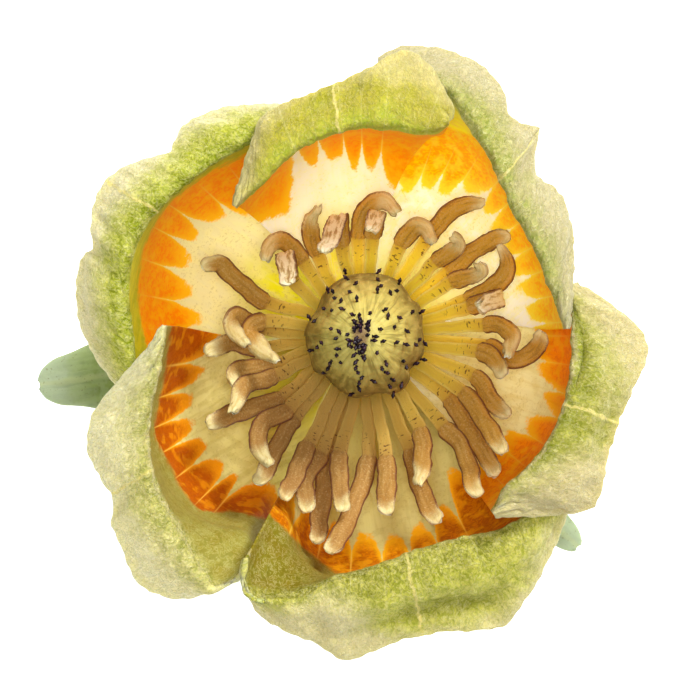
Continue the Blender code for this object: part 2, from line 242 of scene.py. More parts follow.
class Field:
    """A value in a node tree. Python's operators on it add Math nodes."""

    def __init__(self, board: "Board", socket: bpy.types.NodeSocket) -> None:
        """Wraps a socket of a board's tree."""
        self.board, self.socket = board, socket

    def __add__(self, other: "Field | float") -> "Field":
        """This value plus another."""
        return self.board.maths("ADD", self, other)

    def __sub__(self, other: "Field | float") -> "Field":
        """This value less another."""
        return self.board.maths("SUBTRACT", self, other)

    def __rsub__(self, other: float) -> "Field":
        """A number less this value."""
        return self.board.maths("SUBTRACT", other, self)

    def __mul__(self, other: "Field | float") -> "Field":
        """This value times another."""
        return self.board.maths("MULTIPLY", self, other)

    def __truediv__(self, other: "Field | float") -> "Field":
        """This value divided by another."""
        return self.board.maths("DIVIDE", self, other)

    def __pow__(self, other: float) -> "Field":
        """This value raised to a power."""
        return self.board.maths("POWER", self, other)

    def __abs__(self) -> "Field":
        """This value without its sign."""
        return self.board.maths("ABSOLUTE", self)

    def rise(self, low: float, high: float) -> "Field":
        """0 below low, 1 above high and a smooth rise between them. low may be the greater."""
        made = self.board.node("ShaderNodeMapRange", {"interpolation_type": "SMOOTHSTEP"},
                               {"Value": self, "From Min": low, "From Max": high})
        return Field(self.board, made.outputs[0])

    __radd__ = __add__
    __rmul__ = __mul__


class Board:
    """A material and the node tree that paints it."""

    def __init__(self, name: str) -> None:
        """Starts a material with an empty tree."""
        self.material = bpy.data.materials.new(name)
        self.material.use_nodes = True
        self.material.cycles.emission_sampling = "NONE"
        self.tree = self.material.node_tree
        self.tree.nodes.clear()

    def node(self, kind: str, settings: dict | None = None, sockets: dict | None = None) -> bpy.types.Node:
        """Adds a node.

        Args:
            kind: the node's type.
            settings: its properties, set first.
            sockets: the value or link of each input, by name or number.

        Returns:
            The node.
        """
        made = self.tree.nodes.new(kind)
        for key, value in (settings or {}).items():
            setattr(made, key, value)
        for key, value in (sockets or {}).items():
            if isinstance(value, Field):
                value = value.socket
            if isinstance(value, bpy.types.NodeSocket):
                self.tree.links.new(value, made.inputs[key])
            elif isinstance(value, tuple) and len(made.inputs[key].default_value) == 4:
                made.inputs[key].default_value = (*value, 1.0)
            else:
                made.inputs[key].default_value = value
        return made

    def maths(self, operation: str, *values: Field | float) -> Field:
        """The result of one Math node."""
        made = self.node("ShaderNodeMath", {"operation": operation}, dict(enumerate(values)))
        return Field(self, made.outputs[0])

    def marks(self, name: str) -> list[Field]:
        """The three numbers that a piece keeps on its corners under a name."""
        found = self.node("ShaderNodeAttribute", {"attribute_name": name})
        parts = self.node("ShaderNodeSeparateXYZ", None, {0: found.outputs["Vector"]})
        return [Field(self, parts.outputs[number]) for number in range(3)]

    def spot(self) -> bpy.types.NodeSocket:
        """The place on the piece, in millimetres."""
        found = self.node("ShaderNodeTexCoord")
        made = self.node("ShaderNodeVectorMath", {"operation": "SCALE"},
                         {0: found.outputs["Object"], "Scale": 1 / MM})
        return made.outputs[0]

    def vector(self, x: Field | float, y: Field | float, z: Field | float = 0.0) -> bpy.types.NodeSocket:
        """A vector of three values."""
        return self.node("ShaderNodeCombineXYZ", None, {0: x, 1: y, 2: z}).outputs[0]

    def clouds(self, where: bpy.types.NodeSocket, size: float, detail: float = 2.0,
               warp: float = 0.0) -> Field:
        """Noise from 0 to 1 whose patches are about size across."""
        made = self.node("ShaderNodeTexNoise", None, {
            "Vector": where, "Scale": 1 / size, "Detail": detail, "Distortion": warp})
        return Field(self, made.outputs[0])

    def mix(self, share: Field | float, first: object, second: object,
            way: str = "MIX") -> bpy.types.NodeSocket:
        """Mixes two colours.

        Args:
            share: 0 for the first colour and 1 for the second.
            first: a colour or its socket.
            second: a colour or its socket.
            way: how the second goes over the first, such as MIX or MULTIPLY.

        Returns:
            The mixed colour's socket.
        """
        made = self.node("ShaderNodeMix", {"data_type": "RGBA", "blend_type": way},
                         {0: share, 6: first, 7: second})
        return made.outputs[2]

    def coats(self, colour: object, *layers: tuple) -> bpy.types.NodeSocket:
        """Lays (share, colour) pairs over a colour, one after another. A third item is mix's way."""
        for share, over, *way in layers:
            colour = self.mix(share, colour, over, *way)
        return colour

    def bump(self, height: Field, depth: float) -> bpy.types.NodeSocket:
        """A normal that follows a height from 0 to 1, which stands for depth millimetres."""
        sockets = {"Height": height, "Distance": depth * MM, "Strength": 1.0}
        return self.node("ShaderNodeBump", None, sockets).outputs[0]

    def finish(self, **sockets: object) -> bpy.types.Material:
        """Ends the tree in a Principled shader with these sockets, spaces in names as underscores."""
        named = {key.replace("_", " "): value for key, value in sockets.items()}
        shader = self.node("ShaderNodeBsdfPrincipled", None, named)
        self.node("ShaderNodeOutputMaterial", None, {0: shader.outputs[0]})
        return self.material


class Ends(Enum):
    """Which side ends of a petal lie inside its neighbours': the anticlockwise one, then the other."""

    NEITHER = (0, 0)
    SECOND = (0, 1)
    BOTH = (1, 1)


@dataclass(frozen=True)
class PetalFinish:
    """The colours of one petal."""

    throat: Colour
    cream: Colour
    orange: Colour
    # glow: the strength of a painted glow, an emission inside the cup that stands in for light coming
    # through the petal
    glow: float = 0.0
    split: float = 2.6  # how far the cream runs up between two tongues, in millimetres
    lip: float = 0.0  # how strongly a painted highlight lies along the fold's edge
    grit: float = 0.2  # how rough the strip just inside the fold looks
    weave: float = 1.0  # how strong the flap's fine net is
    flap: Colour = paint(180, 182, 56)
    flap_light: Colour = paint(214, 208, 96)
    crest: Colour = paint(140, 146, 30)
    trough: Colour = paint(158, 152, 58)
    rim: Colour = paint(226, 214, 166)
    shade: Colour = paint(242, 230, 156)
    speck: Colour = paint(186, 168, 98)
    ember: Colour = paint(236, 112, 0)
    amber: Colour = paint(255, 190, 20)
    vein: Colour = paint(255, 216, 96)
    outside: Colour = paint(182, 190, 96)
    outside_vein: Colour = paint(140, 160, 64)

    def inner(self, name: str) -> bpy.types.Material:
        """Paints the face that looks into the cup.

        Args:
            name: the material's name.

        Returns:
            The material.
        """
        board = Board(name)
        band, tongue, past = board.marks("zone")
        across, along, edge = board.marks("lie")
        limit, pale_tone_and_highlight, swell = board.marks("limit")
        spot = board.spot()
        patch = board.clouds(spot, 1.5, 2.0, 0.3)
        dots = board.clouds(spot, 0.27, 2.0, 0.6)
        worm = board.clouds(board.vector(across * 1.15, along * 0.85, band * 0.1), 0.6, 2.0, 1.2)
        streak = board.clouds(board.vector(across * 1.9, along * 0.22), 1.0, 2.0, 0.3)

        # The cream floor, yellow in the throat, with soft streaks and fine specks.
        cream = board.coats(
            self.cream, (band.rise(-3.0, -10.0), self.throat), (patch.rise(0.42, 0.62) * 0.4, self.shade),
            (streak.rise(0.48, 0.66) * 0.4, self.shade),
            (dots.rise(0.54, 0.66) * patch.rise(0.36, 0.50) * 0.32, self.speck),
            (edge.rise(0.6, 0.15) * 0.4, paint(255, 255, 244)))

        # The orange band, split into rounded tongues by pale lines.
        gap = abs(board.maths("FRACT", tongue) - 0.5) * 2.0
        wobble = (patch - 0.5) * 1.6 + (dots - 0.5) * 0.9
        inside = band + wobble - (gap ** 3.0) * self.split
        glow = inside.rise(-0.45, 0.25)
        full = inside.rise(0.1, 1.9)
        line = (gap + (dots - 0.5) * 0.02).rise(0.93, 0.99) * band.rise(6.5, 1.5)
        deep = board.coats(
            self.orange, (worm.rise(0.40, 0.60) * 0.55, self.ember),
            (patch.rise(0.50, 0.64) * 0.5, self.amber))
        orange = board.coats(self.amber, (full, deep), (line * (0.27 * self.split), self.vein))
        colour = board.mix(glow, cream, orange)

        # Past its outer limit the wall turns olive, and the flap green with a pale rim. The rim's paleness
        # is partly the flap's own tone and partly painted backlight through the thin margin. The flap is
        # also painted paler on its swells and darker green in its dents, which is painted light and shade.
        olive = (limit + wobble * 0.4).rise(-0.2, 0.3)
        colour = board.mix(olive, colour, board.mix(patch.rise(0.4, 0.6) * 0.35, self.trough, self.crest))
        way_out = past / (past + edge + 0.3)
        # The flap's pale share: its own paler tone, with painted highlight from the paleness table.
        pale = (way_out + pale_tone_and_highlight + swell * 0.35 + (patch - 0.5) * 0.4).rise(0.40, 1.05)
        side_vein = (gap + (patch - 0.5) * 0.05).rise(0.95, 0.995)
        rib = abs(across + (patch - 0.5) * 0.8).rise(0.22, 0.07)
        # A painted highlight along the edge of the fold.
        lip = abs(past - 0.3 + (dots - 0.5) * 1.4).rise(0.45, 0.1)
        flap = board.coats(
            self.crest, (way_out.rise(0.0, 0.5), self.flap),
            (patch.rise(0.40, 0.62) * 0.32, self.flap_light),
            (dots.rise(0.46, 0.62) * 0.4, self.flap_light), (swell.rise(-0.05, -0.8) * 0.5, self.crest),
            (pale * 0.85, self.rim), (side_vein * 0.22, paint(234, 226, 160)),
            (rib * 0.8, paint(238, 222, 140)), (lip * self.lip, self.rim))
        leafy = (past + wobble * 0.25).rise(-1.4, 0.0)
        colour = board.mix(leafy, colour, flap)
        green = board.maths("MAXIMUM", leafy, olive * self.grit)
        # The flap's fine net: darker cells, and a painted highlight along the ridges of its wrinkles, which
        # also feed the bump.
        ridge = abs(worm - 0.53).rise(0.06, 0.0)
        cell = worm.rise(0.50, 0.38) * green * (1.0 - pale * 0.6)
        colour = board.coats(
            colour, (cell * (0.75 * self.weave), (0.62, 0.66, 0.46), "MULTIPLY"),
            (dots.rise(0.50, 0.36) * green * (0.5 * self.weave), (0.70, 0.74, 0.56), "MULTIPLY"),
            (ridge * green * (0.9 * self.weave), (0.27, 0.26, 0.14), "SCREEN"))

        # Painted glow: the inside of the cup gives off light in its own colour, standing in for light
        # through the petal.
        painted_cup_glow = board.mix(past.rise(-0.4, 0.6), colour, BLACK)
        leaf = past.rise(-1.3, -0.1)
        height_map = (ridge * 0.5 + patch * 0.6 + worm * 0.6) * leaf + streak * 0.4
        return board.finish(
            Base_Color=colour, Roughness=0.5, Normal=board.bump(height_map, 0.22),
            Specular_IOR_Level=0.1, Emission_Color=painted_cup_glow, Emission_Strength=self.glow,
            **flesh(0.6, (1.0, 0.9, 0.6), 0.6))

    def outer(self, name: str) -> bpy.types.Material:
        """Paints the face that looks out of the cup.

        Args:
            name: the material's name.

        Returns:
            The material.
        """
        board = Board(name)
        band = board.marks("zone")[0]
        across, along, edge = board.marks("lie")
        spot = board.spot()
        rib = board.clouds(board.vector(across * 1.3, along * 0.06), 1.0, 3.0)
        cloud = board.clouds(spot, 2.4, 3.0)
        blush = (band + (rib - 0.5) * 3.0).rise(-0.5, 2.5) * along.rise(34.0, 26.0)
        colour = board.coats(
            self.outside, (cloud.rise(0.35, 0.7) * 0.6, paint(204, 206, 134)),
            (blush * 0.45, paint(232, 160, 64)), (rib.rise(0.5, 0.66) * 0.5, self.outside_vein),
            (edge.rise(1.8, 0.1) * 0.7, self.rim))
        return board.finish(
            Base_Color=colour, Roughness=0.55, Normal=board.bump(rib * 0.8 + cloud * 0.4, 0.15),
            Specular_IOR_Level=0.3, **flesh(0.6, (1.0, 0.9, 0.6), 0.6))


@dataclass(frozen=True)
class Petal:
    """One petal: its outline from above, its heights and its colours."""

    node: str
    foot_z: float
    ends: Ends
    wall: Table  # (azimuth, belly radius, crest height)
    crest: Table  # (azimuth, radius)
    margin: Table  # (azimuth, radius)
    band: Table  # (azimuth, radius) of the tips of the orange tongues
    limit: Table  # (azimuth, radius) of the band's outer end
    veins: tuple[float, ...]  # azimuths of the pale lines between tongues
    midrib: float
    pale_tone_and_highlight: Table  # (azimuth, how much paler the flap is: partly its own paler tone, partly painted highlight)
    finish: PetalFinish
    across: int = 170
    along: int = 112
    thickness: float = 0.34
    foot_r: float = 4.15
    floor_r: float = 7.6
    shoulder_z: float = 38.2
    side: Table = ((0.92, 25.0), (0.985, 31.0), (1.0, 37.0))  # (share of the belly radius, height)
    floor_share: float = 0.364  # how far up it the floor ends
    crest_share: float = 0.727  # and how far up the crest lies
    foot_shares: tuple[float, float] = (0.6, 0.6)
    opened: float = 0.4  # how far up it reaches its full width
    dents: Table = ()  # (azimuth, share of the flap, half widths of both, height)

    def profile(self, azimuth: np.ndarray) -> np.ndarray:
        """The (radius, height) points up the petal, from its foot to its margin, at each azimuth."""
        belly, crest_z = np.moveaxis(through(self.wall, azimuth), -1, 0)
        crest = through(self.crest, azimuth)[..., 0]
        fray = 0.10 * np.sin(azimuth * 0.53 + self.foot_z) * np.sin(azimuth * 1.31)
        fray = fray + 0.03 * np.sin(azimuth * 2.9)
        margin = np.maximum(through(self.margin, azimuth)[..., 0] + fray, crest + 0.05)
        flap = margin - crest
        margin_z = crest_z - 0.25 - 0.62 * flap
        base = self.foot_z + 0 * belly
        rows = (
            (self.foot_r, base), (self.floor_r, base + 0.1), (0.55 * belly, base + 1.9),
            (0.78 * belly, base + 5.7), *((share * belly, height) for share, height in self.side),
            (0.5 * (belly + crest), 0.5 * self.shoulder_z + 0.5 * crest_z), (crest, crest_z - 1.0),
            (crest + 0.18 * flap, crest_z),
            (crest + 0.55 * flap, 0.62 * crest_z + 0.38 * margin_z + 0.2), (margin, margin_z))
        return np.array([gather(*row) for row in rows])

    def surface(self, u: np.ndarray, v: np.ndarray) -> np.ndarray:
        """The petal's smooth middle surface, in millimetres, at shares u across and v along it."""
        first, last = self.wall[0][0], self.wall[-1][0]
        azimuth = first + (last - first) * u
        radius, height = np.moveaxis(rounded(self.profile(azimuth), v), -1, 0)
        opened = np.sin(0.5 * np.pi * np.minimum(v / self.opened, 1.0))
        foot = self.foot_shares[0] + (self.foot_shares[1] - self.foot_shares[0]) * step_up(u, 0.2, 0.8)
        spread = foot + (1.0 - foot) * opened
        side = 2.0 * u - 1.0
        in_front = np.where(side < 0, *self.ends.value)
        layer = np.where(in_front, -1.0, 1.0) * side**2 * np.minimum(v / 0.12, 1.0)
        radius = radius + 0.7 * layer * np.clip((0.75 - v) / 0.15, 0, 1)
        height = height - 0.4 * layer * np.clip((0.5 - v) / 0.5, 0, 1)
        middle = 0.5 * (first + last)
        return around(middle + (azimuth - middle) * spread, radius, height)

    def build(self) -> bpy.types.Object:
        """Builds the petal and stands it for its CAD node."""
        sheet = Sheet(self.across, self.along)
        u, v = sheet.u, np.interp(sheet.v, (0, 0.35, 0.55, 1), (0, self.floor_share, self.crest_share, 1))
        smooth = self.surface(u, v)
        first, last = self.wall[0][0], self.wall[-1][0]
        azimuth = first + (last - first) * u
        across, along = run_of(smooth, 1), run_of(smooth, 0)
        column = int(np.argmin(abs(azimuth[0] - self.midrib)))
        across = across - across[:, column:column + 1]
        left = along[-1] - along
        inward = np.minimum(across - across[:, :1], across[:, -1:] - across)
        edge = np.minimum(left, inward)
        crest_row = int(np.argmin(abs(v[:, 0] - self.crest_share)))
        past = along - along[crest_row]
        lie = gather(across, along, 0.0)

        flap = step_up(v, 0.68, 0.80)
        folds = grain(lie * (1.0, 0.35, 1.0) + self.foot_z * 7.0, 3.2)
        creases = grain(lie + self.foot_z * 5.0, 1.15, 3.0)
        relief = flap * (0.50 * folds + 0.16 * creases) * step_up(left, 0.0, 1.2)
        relief += 0.08 * np.exp(-((across / 0.4) ** 2)) * step_up(along, 4.0, 12.0)
        relief += 0.05 * folds * (1.0 - flap)
        relief += 0.16 * creases * np.exp(-((past / 0.6) ** 2))
        margin = through(self.margin, azimuth)[..., 0]
        width = self.across // 9
        padded = np.pad(margin[0], width, mode="edge")
        calm = np.convolve(padded, np.ones(2 * width + 1) / (2 * width + 1), mode="valid")
        outward = past / np.maximum(past[-1:], 0.1)
        relief -= 0.55 * (margin - calm) * step_up(outward, 0.2, 1.0)
        inset = step_up(inward, 0.0, 1.6)
        relief *= 0.3 + 0.7 * inset
        swell = 0 * relief
        for place, share, wide, deep, lift in self.dents:
            swell += lift * np.exp(-((azimuth - place) / wide) ** 2 - ((outward - share) / deep) ** 2)
        relief += inset * swell
        points = smooth + normals(smooth) * relief[..., None]
        sheet.place(points)

        east, north, _ = np.moveaxis(points - CENTRE, -1, 0)
        radius, turned = np.hypot(east, north), np.degrees(np.arctan2(north, east))
        turned = (turned - (self.midrib - 180.0)) % 360.0 + (self.midrib - 180.0)
        band = radius - through(self.band, turned)[..., 0]
        veins = tuple((place, float(number)) for number, place in enumerate(self.veins))
        sheet.mark("zone", band, through(veins, turned)[..., 0], past)
        sheet.mark("lie", across, along, edge)
        sheet.mark("limit", radius - through(self.limit, turned)[..., 0],
                   through(self.pale_tone_and_highlight, azimuth)[..., 0], swell)
        thin = sheet.mesh.verts.layers.deform.verify()
        share = 0.55 + 0.45 * step_up(edge, 0.0, 1.4)
        sheet.mesh.verts.ensure_lookup_table()
        for number, weight in zip(sheet.order, share.ravel()):
            sheet.mesh.verts[number][thin][0] = float(weight)

        made = as_object(f"{self.node}_skin", sheet.mesh, self.finish.inner(f"{self.node}_inside"),
                         self.finish.outer(f"{self.node}_outside"))
        made.vertex_groups.new(name="wall")
        wall = thicken(made, self.thickness)
        wall.vertex_group, wall.thickness_vertex_group = "wall", 0.0
        wall.material_offset, wall.material_offset_rim = 1, 0
        return settle(made, "petal", self.node)


PETALS = (
    Petal(
        "petal_upper_left", 12.8, Ends.NEITHER,
        wall=((193, 23.9, 42.4), (186, 23.8, 43.0), (178, 23.6, 43.8), (171, 23.7, 44.6), (163, 24.0, 45.4),
            (156, 24.2, 45.8), (148, 24.2, 46.0), (139, 23.8, 45.6), (132, 23.4, 45.0), (124, 22.9, 44.4),
            (115, 22.3, 43.6), (107, 21.9, 43.0)),
        crest=((193, 23.4), (183, 23.0), (177, 23.4), (169, 24.1), (160, 24.7), (154, 24.6), (148, 24.2),
            (135.5, 23.2), (121.5, 22.4), (107, 22.4)),
        margin=((193, 24.8), (189, 25.7), (185, 26.9), (178.5, 28.3), (172, 29.1), (166, 29.5),
            (163.3, 29.3), (162.2, 28.3), (160.7, 28.4), (158, 29.4), (155, 30.1), (150.3, 30.4), (147, 30),
            (143.5, 29.1), (140, 27.5), (136.8, 26.6), (134.6, 27), (131, 27.9), (127, 27.6), (122, 26.9),
            (117, 26), (112, 24.9), (107, 24.2)),
        band=((193, 15.5), (180, 16.4), (173, 17.0), (164, 18.6), (157, 19.5), (149.5, 19.8), (141.5, 19.0),
            (137, 17.4), (107, 16.0)),
        limit=((193, 21.0), (178, 22.3), (169, 23.2), (157, 23.9), (148, 23.8), (135, 22.8), (122, 21.8),
            (107, 21.5)),
        veins=(101, 110, 119, 128.5, 137.3, 146, 152.6, 160.8, 169.5, 178, 187, 196),
        midrib=149,
        pale_tone_and_highlight=((193, 0.05), (175, 0.1), (160, 0.15), (145, 0.2), (133, 0.0), (107, 0.05)),
        dents=((136.8, 0.85, 2.2, 0.4, -0.6), (162.3, 0.9, 1.8, 0.35, -0.5), (149, 0.7, 3.0, 0.3, 0.4),
            (175, 0.6, 6.0, 0.3, 0.4), (127, 0.6, 4.0, 0.3, 0.4)),
        finish=PetalFinish(throat=paint(236, 230, 10), cream=paint(235, 224, 172),
            orange=paint(255, 166, 0), crest=paint(140, 152, 10), trough=paint(196, 190, 30), glow=0.14,
            rim=paint(236, 224, 182), flap_light=paint(224, 220, 118))),
    Petal(
        "petal_lower_left", 13.2, Ends.SECOND,
        wall=((249, 23.2, 41.6), (244, 23.6, 42.2), (239, 23.0, 42.8), (232, 24.2, 43.4), (226, 24.8, 44.0),
            (219, 25.0, 44.8), (212, 24.8, 45.4), (206, 24.4, 45.8), (200, 23.6, 46.3), (194, 22.6, 46.8),
            (187, 21.4, 47.1), (177, 20.6, 47.2)),
        crest=((249, 23.9), (245, 24.9), (242.5, 27.0), (240.5, 28.8), (239, 29.4), (236.5, 28.7),
            (232, 27.8), (229, 27.2), (219, 25.9), (212, 25.1), (206, 24.0), (197, 22.2), (189.5, 20.8),
            (184, 20.3), (177, 19.9)),
        margin=((249, 24), (245, 25), (242.5, 27.2), (240, 29.9), (237, 31.6), (233, 32.9), (228.3, 33.8),
            (225, 33.2), (222, 32.3), (219, 31.8), (216.3, 31.9), (214.4, 31), (212, 29.4), (208, 29.8),
            (204, 30.1), (200, 29.6), (196, 28.6), (191, 25.2), (184, 21.7), (177, 20.1)),
        band=((249, 17.0), (240, 17.6), (232, 18.6), (227, 19.2), (221, 19.5), (214, 19.5), (207, 19.6),
            (201, 18.9), (194, 17.4), (190, 16.2), (184, 15.0), (177, 14.2)),
        limit=((249, 20.6), (242, 21.0), (234, 22.0), (230, 23.2), (226, 24.2), (220, 24.1), (213, 23.5),
            (207, 23.5), (200, 22.3), (190, 20.4), (177, 19.4)),
        veins=(168, 188.5, 196.5, 203.5, 210, 217, 225, 229.8, 243, 254),
        midrib=212,
        pale_tone_and_highlight=((249, 0.1), (238, 0.3), (230, 0.35), (220, 0.2), (212, 0.25), (205, 0.4), (192, 0.4),
            (184, 0.3), (177, 0.1)),
        dents=((214.5, 0.8, 2.5, 0.4, -0.6), (205, 0.6, 4.0, 0.3, 0.5), (224, 0.5, 5.0, 0.25, 0.5),
            (221, -0.7, 6.0, 0.5, -0.5)),
        finish=PetalFinish(throat=paint(204, 196, 60), cream=paint(232, 222, 150), orange=paint(190, 92, 0),
            ember=paint(170, 72, 0), shade=paint(200, 188, 104), amber=paint(240, 162, 16),
            flap=paint(200, 196, 106), flap_light=paint(234, 224, 146), rim=paint(250, 238, 190),
            crest=paint(168, 166, 86), trough=paint(152, 140, 54), lip=0.3, grit=0.5)),
    Petal(
        "petal_bottom", 13.6, Ends.SECOND,
        wall=((-37, 22.9, 42.8), (-43, 23.3, 43.2), (-50, 23.9, 43.7), (-57, 24.1, 44.2), (-63, 24.0, 44.7),
            (-71, 23.7, 45.3), (-79, 23.7, 45.8), (-87, 24.0, 46.1), (-93, 24.4, 46.3), (-99, 24.7, 46.5),
            (-106, 23.6, 46.6), (-113, 20.8, 46.8), (-118, 20.1, 47.0)),
        crest=((-37, 24.4), (-43, 24.4), (-50, 24.1), (-55, 23.7), (-65, 22.4), (-75, 22.1), (-86, 23.0),
            (-94.5, 24.0), (-97.5, 24.5), (-103.5, 26.2), (-108, 27.3), (-112, 27.9), (-114.5, 28.0),
            (-116, 27.2), (-118, 25.0)),
        margin=((-37, 26.2), (-42, 27.2), (-48, 28.4), (-54, 29.8), (-60, 31.1), (-64.5, 32.2), (-69, 31.4),
            (-75, 30.5), (-81, 30.4), (-87, 31.1), (-93, 32.4), (-96, 31.5), (-99, 30.8), (-105, 30.5),
            (-109, 30.3), (-113, 29.4), (-116, 27.6), (-118, 25.4)),
        band=((-37, 17.0), (-58, 16.4), (-63, 18.5), (-75, 20.1), (-82, 20.4), (-88, 20.2), (-96, 19.4),
            (-118, 17.0)),
        limit=((-37, 24.5), (-85, 25.0), (-91, 24.8), (-97.5, 23.9), (-104.8, 22.5), (-110.6, 21.3),
            (-118, 20.2)),
        veins=(-33, -43, -52.5, -62.5, -70.5, -78, -85.3, -93.2, -102, -111, -122),
        midrib=-79,
        pale_tone_and_highlight=((-37, 0.1), (-50, 0.0), (-62, -0.15), (-80, -0.2), (-90, 0.15), (-97, 0.4), (-110, 0.2),
            (-118, 0.0)),
        dents=((-74, 0.70, 13.0, 0.16, -1.0), (-76, 0.38, 14.0, 0.14, 0.5), (-64, 1.0, 7.0, 0.15, 0.5),
            (-94, 1.0, 5.0, 0.2, 0.7), (-97, 0.45, 7.0, 0.2, 0.6), (-50, 0.5, 7.0, 0.25, 0.5)),
        finish=PetalFinish(throat=paint(206, 198, 116), cream=paint(222, 212, 140),
            orange=paint(214, 128, 0), ember=paint(170, 70, 0), shade=paint(200, 188, 112),
            amber=paint(250, 184, 20), flap=paint(190, 190, 72), flap_light=paint(226, 218, 114),
            crest=paint(136, 134, 36), trough=paint(132, 118, 30), lip=0.1, grit=0.7)),
    Petal(
        "petal_right", 14.0, Ends.SECOND,
        wall=((14, 21.2, 44.0), (8, 21.8, 44.6), (3, 22.0, 45.1), (-2, 22.0, 45.6), (-11, 22.0, 46.4),
            (-22, 22.1, 47.0), (-32, 21.9, 47.5), (-37, 21.8, 47.8), (-43, 21.8, 48.0), (-49, 21.9, 48.0),
            (-54, 22.0, 48.0)),
        crest=((14, 21.0), (10, 20.8), (-1, 20.8), (-12, 21.1), (-23, 21.3), (-36, 21.1), (-46, 20.9),
            (-54, 21.8)),
        margin=((14, 21.9), (12, 22.3), (9, 24), (5, 26), (0, 28.3), (-2.5, 28.8), (-6, 28.2), (-12, 27.3),
            (-18, 26.9), (-24, 27.1), (-30, 27.7), (-34, 28.7), (-36.3, 29), (-39, 28.1), (-43, 26.2),
            (-49, 23.8), (-54, 22.2)),
        band=((14, 17.4), (4, 17.4), (-6, 17.5), (-12, 18.2), (-15, 19.6), (-18, 19.2), (-21, 20.2),
            (-24, 19.6), (-27, 18.6), (-30, 18.8), (-34, 17.6), (-54, 17.0)),
        limit=((14, 24.0), (-54, 24.0)),
        veins=(16, 8, 0, -8, -16, -23, -31, -39, -47, -55),
        midrib=-19,
        pale_tone_and_highlight=((14, 0.35), (5, 0.3), (-5, 0.1), (-20, -0.15), (-28, 0.1), (-36, 0.5), (-45, 0.5),
            (-54, 0.4)),
        dents=((-6, 0.14, 6.5, 0.07, -1.0), (-6, 0.32, 6.5, 0.08, 0.5), (-17, 0.45, 13.0, 0.2, 0.6),
            (-24, 0.85, 9.0, 0.15, -0.4), (-36, 0.6, 5.0, 0.3, 0.5), (3, 0.6, 5.0, 0.3, 0.4)),
        finish=PetalFinish(throat=paint(246, 236, 190), cream=paint(240, 230, 180),
            orange=paint(252, 148, 0), ember=paint(226, 106, 0), shade=paint(222, 206, 130), glow=0.05,
            split=1.2, lip=0.6, flap=paint(168, 166, 66), flap_light=paint(198, 190, 102),
            rim=paint(216, 200, 150))),
    Petal(
        "petal_upper_right", 14.4, Ends.SECOND,
        wall=((87, 23.0, 43.4), (81, 23.3, 43.8), (74, 23.6, 44.3), (67, 23.6, 44.9), (59, 23.1, 45.5),
            (50, 21.6, 46.1), (42, 20.8, 46.5), (33, 20.3, 46.8), (24, 20.0, 47.0), (12, 20.2, 47.0),
            (2, 20.4, 46.8)),
        crest=((87, 25.6), (76, 25.8), (70.7, 25.6), (67, 24.5), (63, 23.4), (59, 22.6), (55, 21.9),
            (48, 20.6), (38, 19.4), (23, 19.2), (8, 19.8), (2, 20.2)),
        margin=((87, 27.8), (81, 29.6), (75, 29.8), (69, 29.7), (64.5, 29.4), (62, 28.9), (59.6, 28.1),
            (58.2, 26.9), (57, 26.4), (54.5, 26.5), (52, 26.8), (50.4, 27.4), (49.5, 27.6), (48.6, 26.4),
            (47, 24.9), (45, 23.9), (42.5, 23.5), (40.5, 23.7), (38.5, 24.3), (35, 24.3), (31, 23.8),
            (25, 23.1), (19, 22.1), (12.5, 21.3), (6, 20.8), (2, 20.5)),
        band=((87, 15.0), (75.5, 15.2), (67, 16.2), (59, 16.9), (52, 18.3), (43, 17.4), (27, 16.5),
            (2, 16.8)),
        limit=((87, 24.5), (72, 23.0), (65, 22.7), (60, 23.2), (54, 24.5), (2, 24.5)),
        veins=(94, 86, 77.8, 70.2, 64, 57.3, 49, 42.5, 36, 27.7, 20, 12, 4, -5),
        midrib=49, foot_shares=(0.8, 0.6),
        pale_tone_and_highlight=((87, 0.5), (74, 0.45), (66, 0.3), (60, 0.2), (50, 0.3), (40, 0.4), (25, 0.35), (10, 0.4)),
        dents=((49.8, 0.9, 2.2, 0.45, 0.6), (56.5, 0.9, 3.0, 0.4, -0.6), (43, 0.9, 3.2, 0.4, -0.7),
            (32, 0.6, 6.0, 0.3, 0.4), (68, 0.6, 5.0, 0.3, 0.4)),
        # The bright yellow of its trough, by the top petal's corner, is partly painted backlight.
        finish=PetalFinish(throat=paint(255, 244, 130), cream=paint(255, 252, 226),
            orange=paint(255, 200, 0), ember=paint(244, 138, 0), amber=paint(255, 220, 50), glow=0.2,
            split=1.8, flap=paint(160, 160, 70), flap_light=paint(196, 186, 106), rim=paint(198, 186, 146),
            crest=paint(182, 190, 100), trough=paint(255, 236, 20))),
    Petal(
        "petal_top", 14.8, Ends.BOTH,
        wall=((135, 19.0, 47.2), (128, 19.2, 47.6), (121, 19.6, 48.0), (114, 20.3, 48.2), (105, 21.0, 48.4),
            (96, 21.6, 48.5), (88, 21.8, 48.6), (81, 21.8, 48.6), (75, 21.9, 48.5), (71, 22.0, 48.3),
            (68.3, 22.2, 48.1)),
        crest=((135, 18.2), (125, 18.4), (112, 19.6), (100, 20.4), (88, 20.9), (77, 20.9), (71, 21.6),
            (68.3, 22.9)),
        margin=((135, 18.5), (134, 18.7), (121.5, 21.8), (115, 24.3), (105, 24.7), (97, 25.3), (89, 26.6),
            (84, 28.6), (81, 29.3), (76, 27.6), (72, 26.0), (70, 25.2), (69, 24.6), (68.3, 23.3)),
        band=((135, 15.4), (131, 15.3), (123, 14.9), (116.5, 16.4), (109, 18.2), (100, 18.1), (93, 17.1),
            (87.6, 16.9), (79.7, 15.5), (74, 14.5), (66, 14.0)),
        limit=((135, 24.5), (66, 24.5)),
        veins=(141, 110.5, 103.3, 96, 90.6, 84.6, 73, 63),
        midrib=97, foot_shares=(0.8, 0.4), opened=0.7,
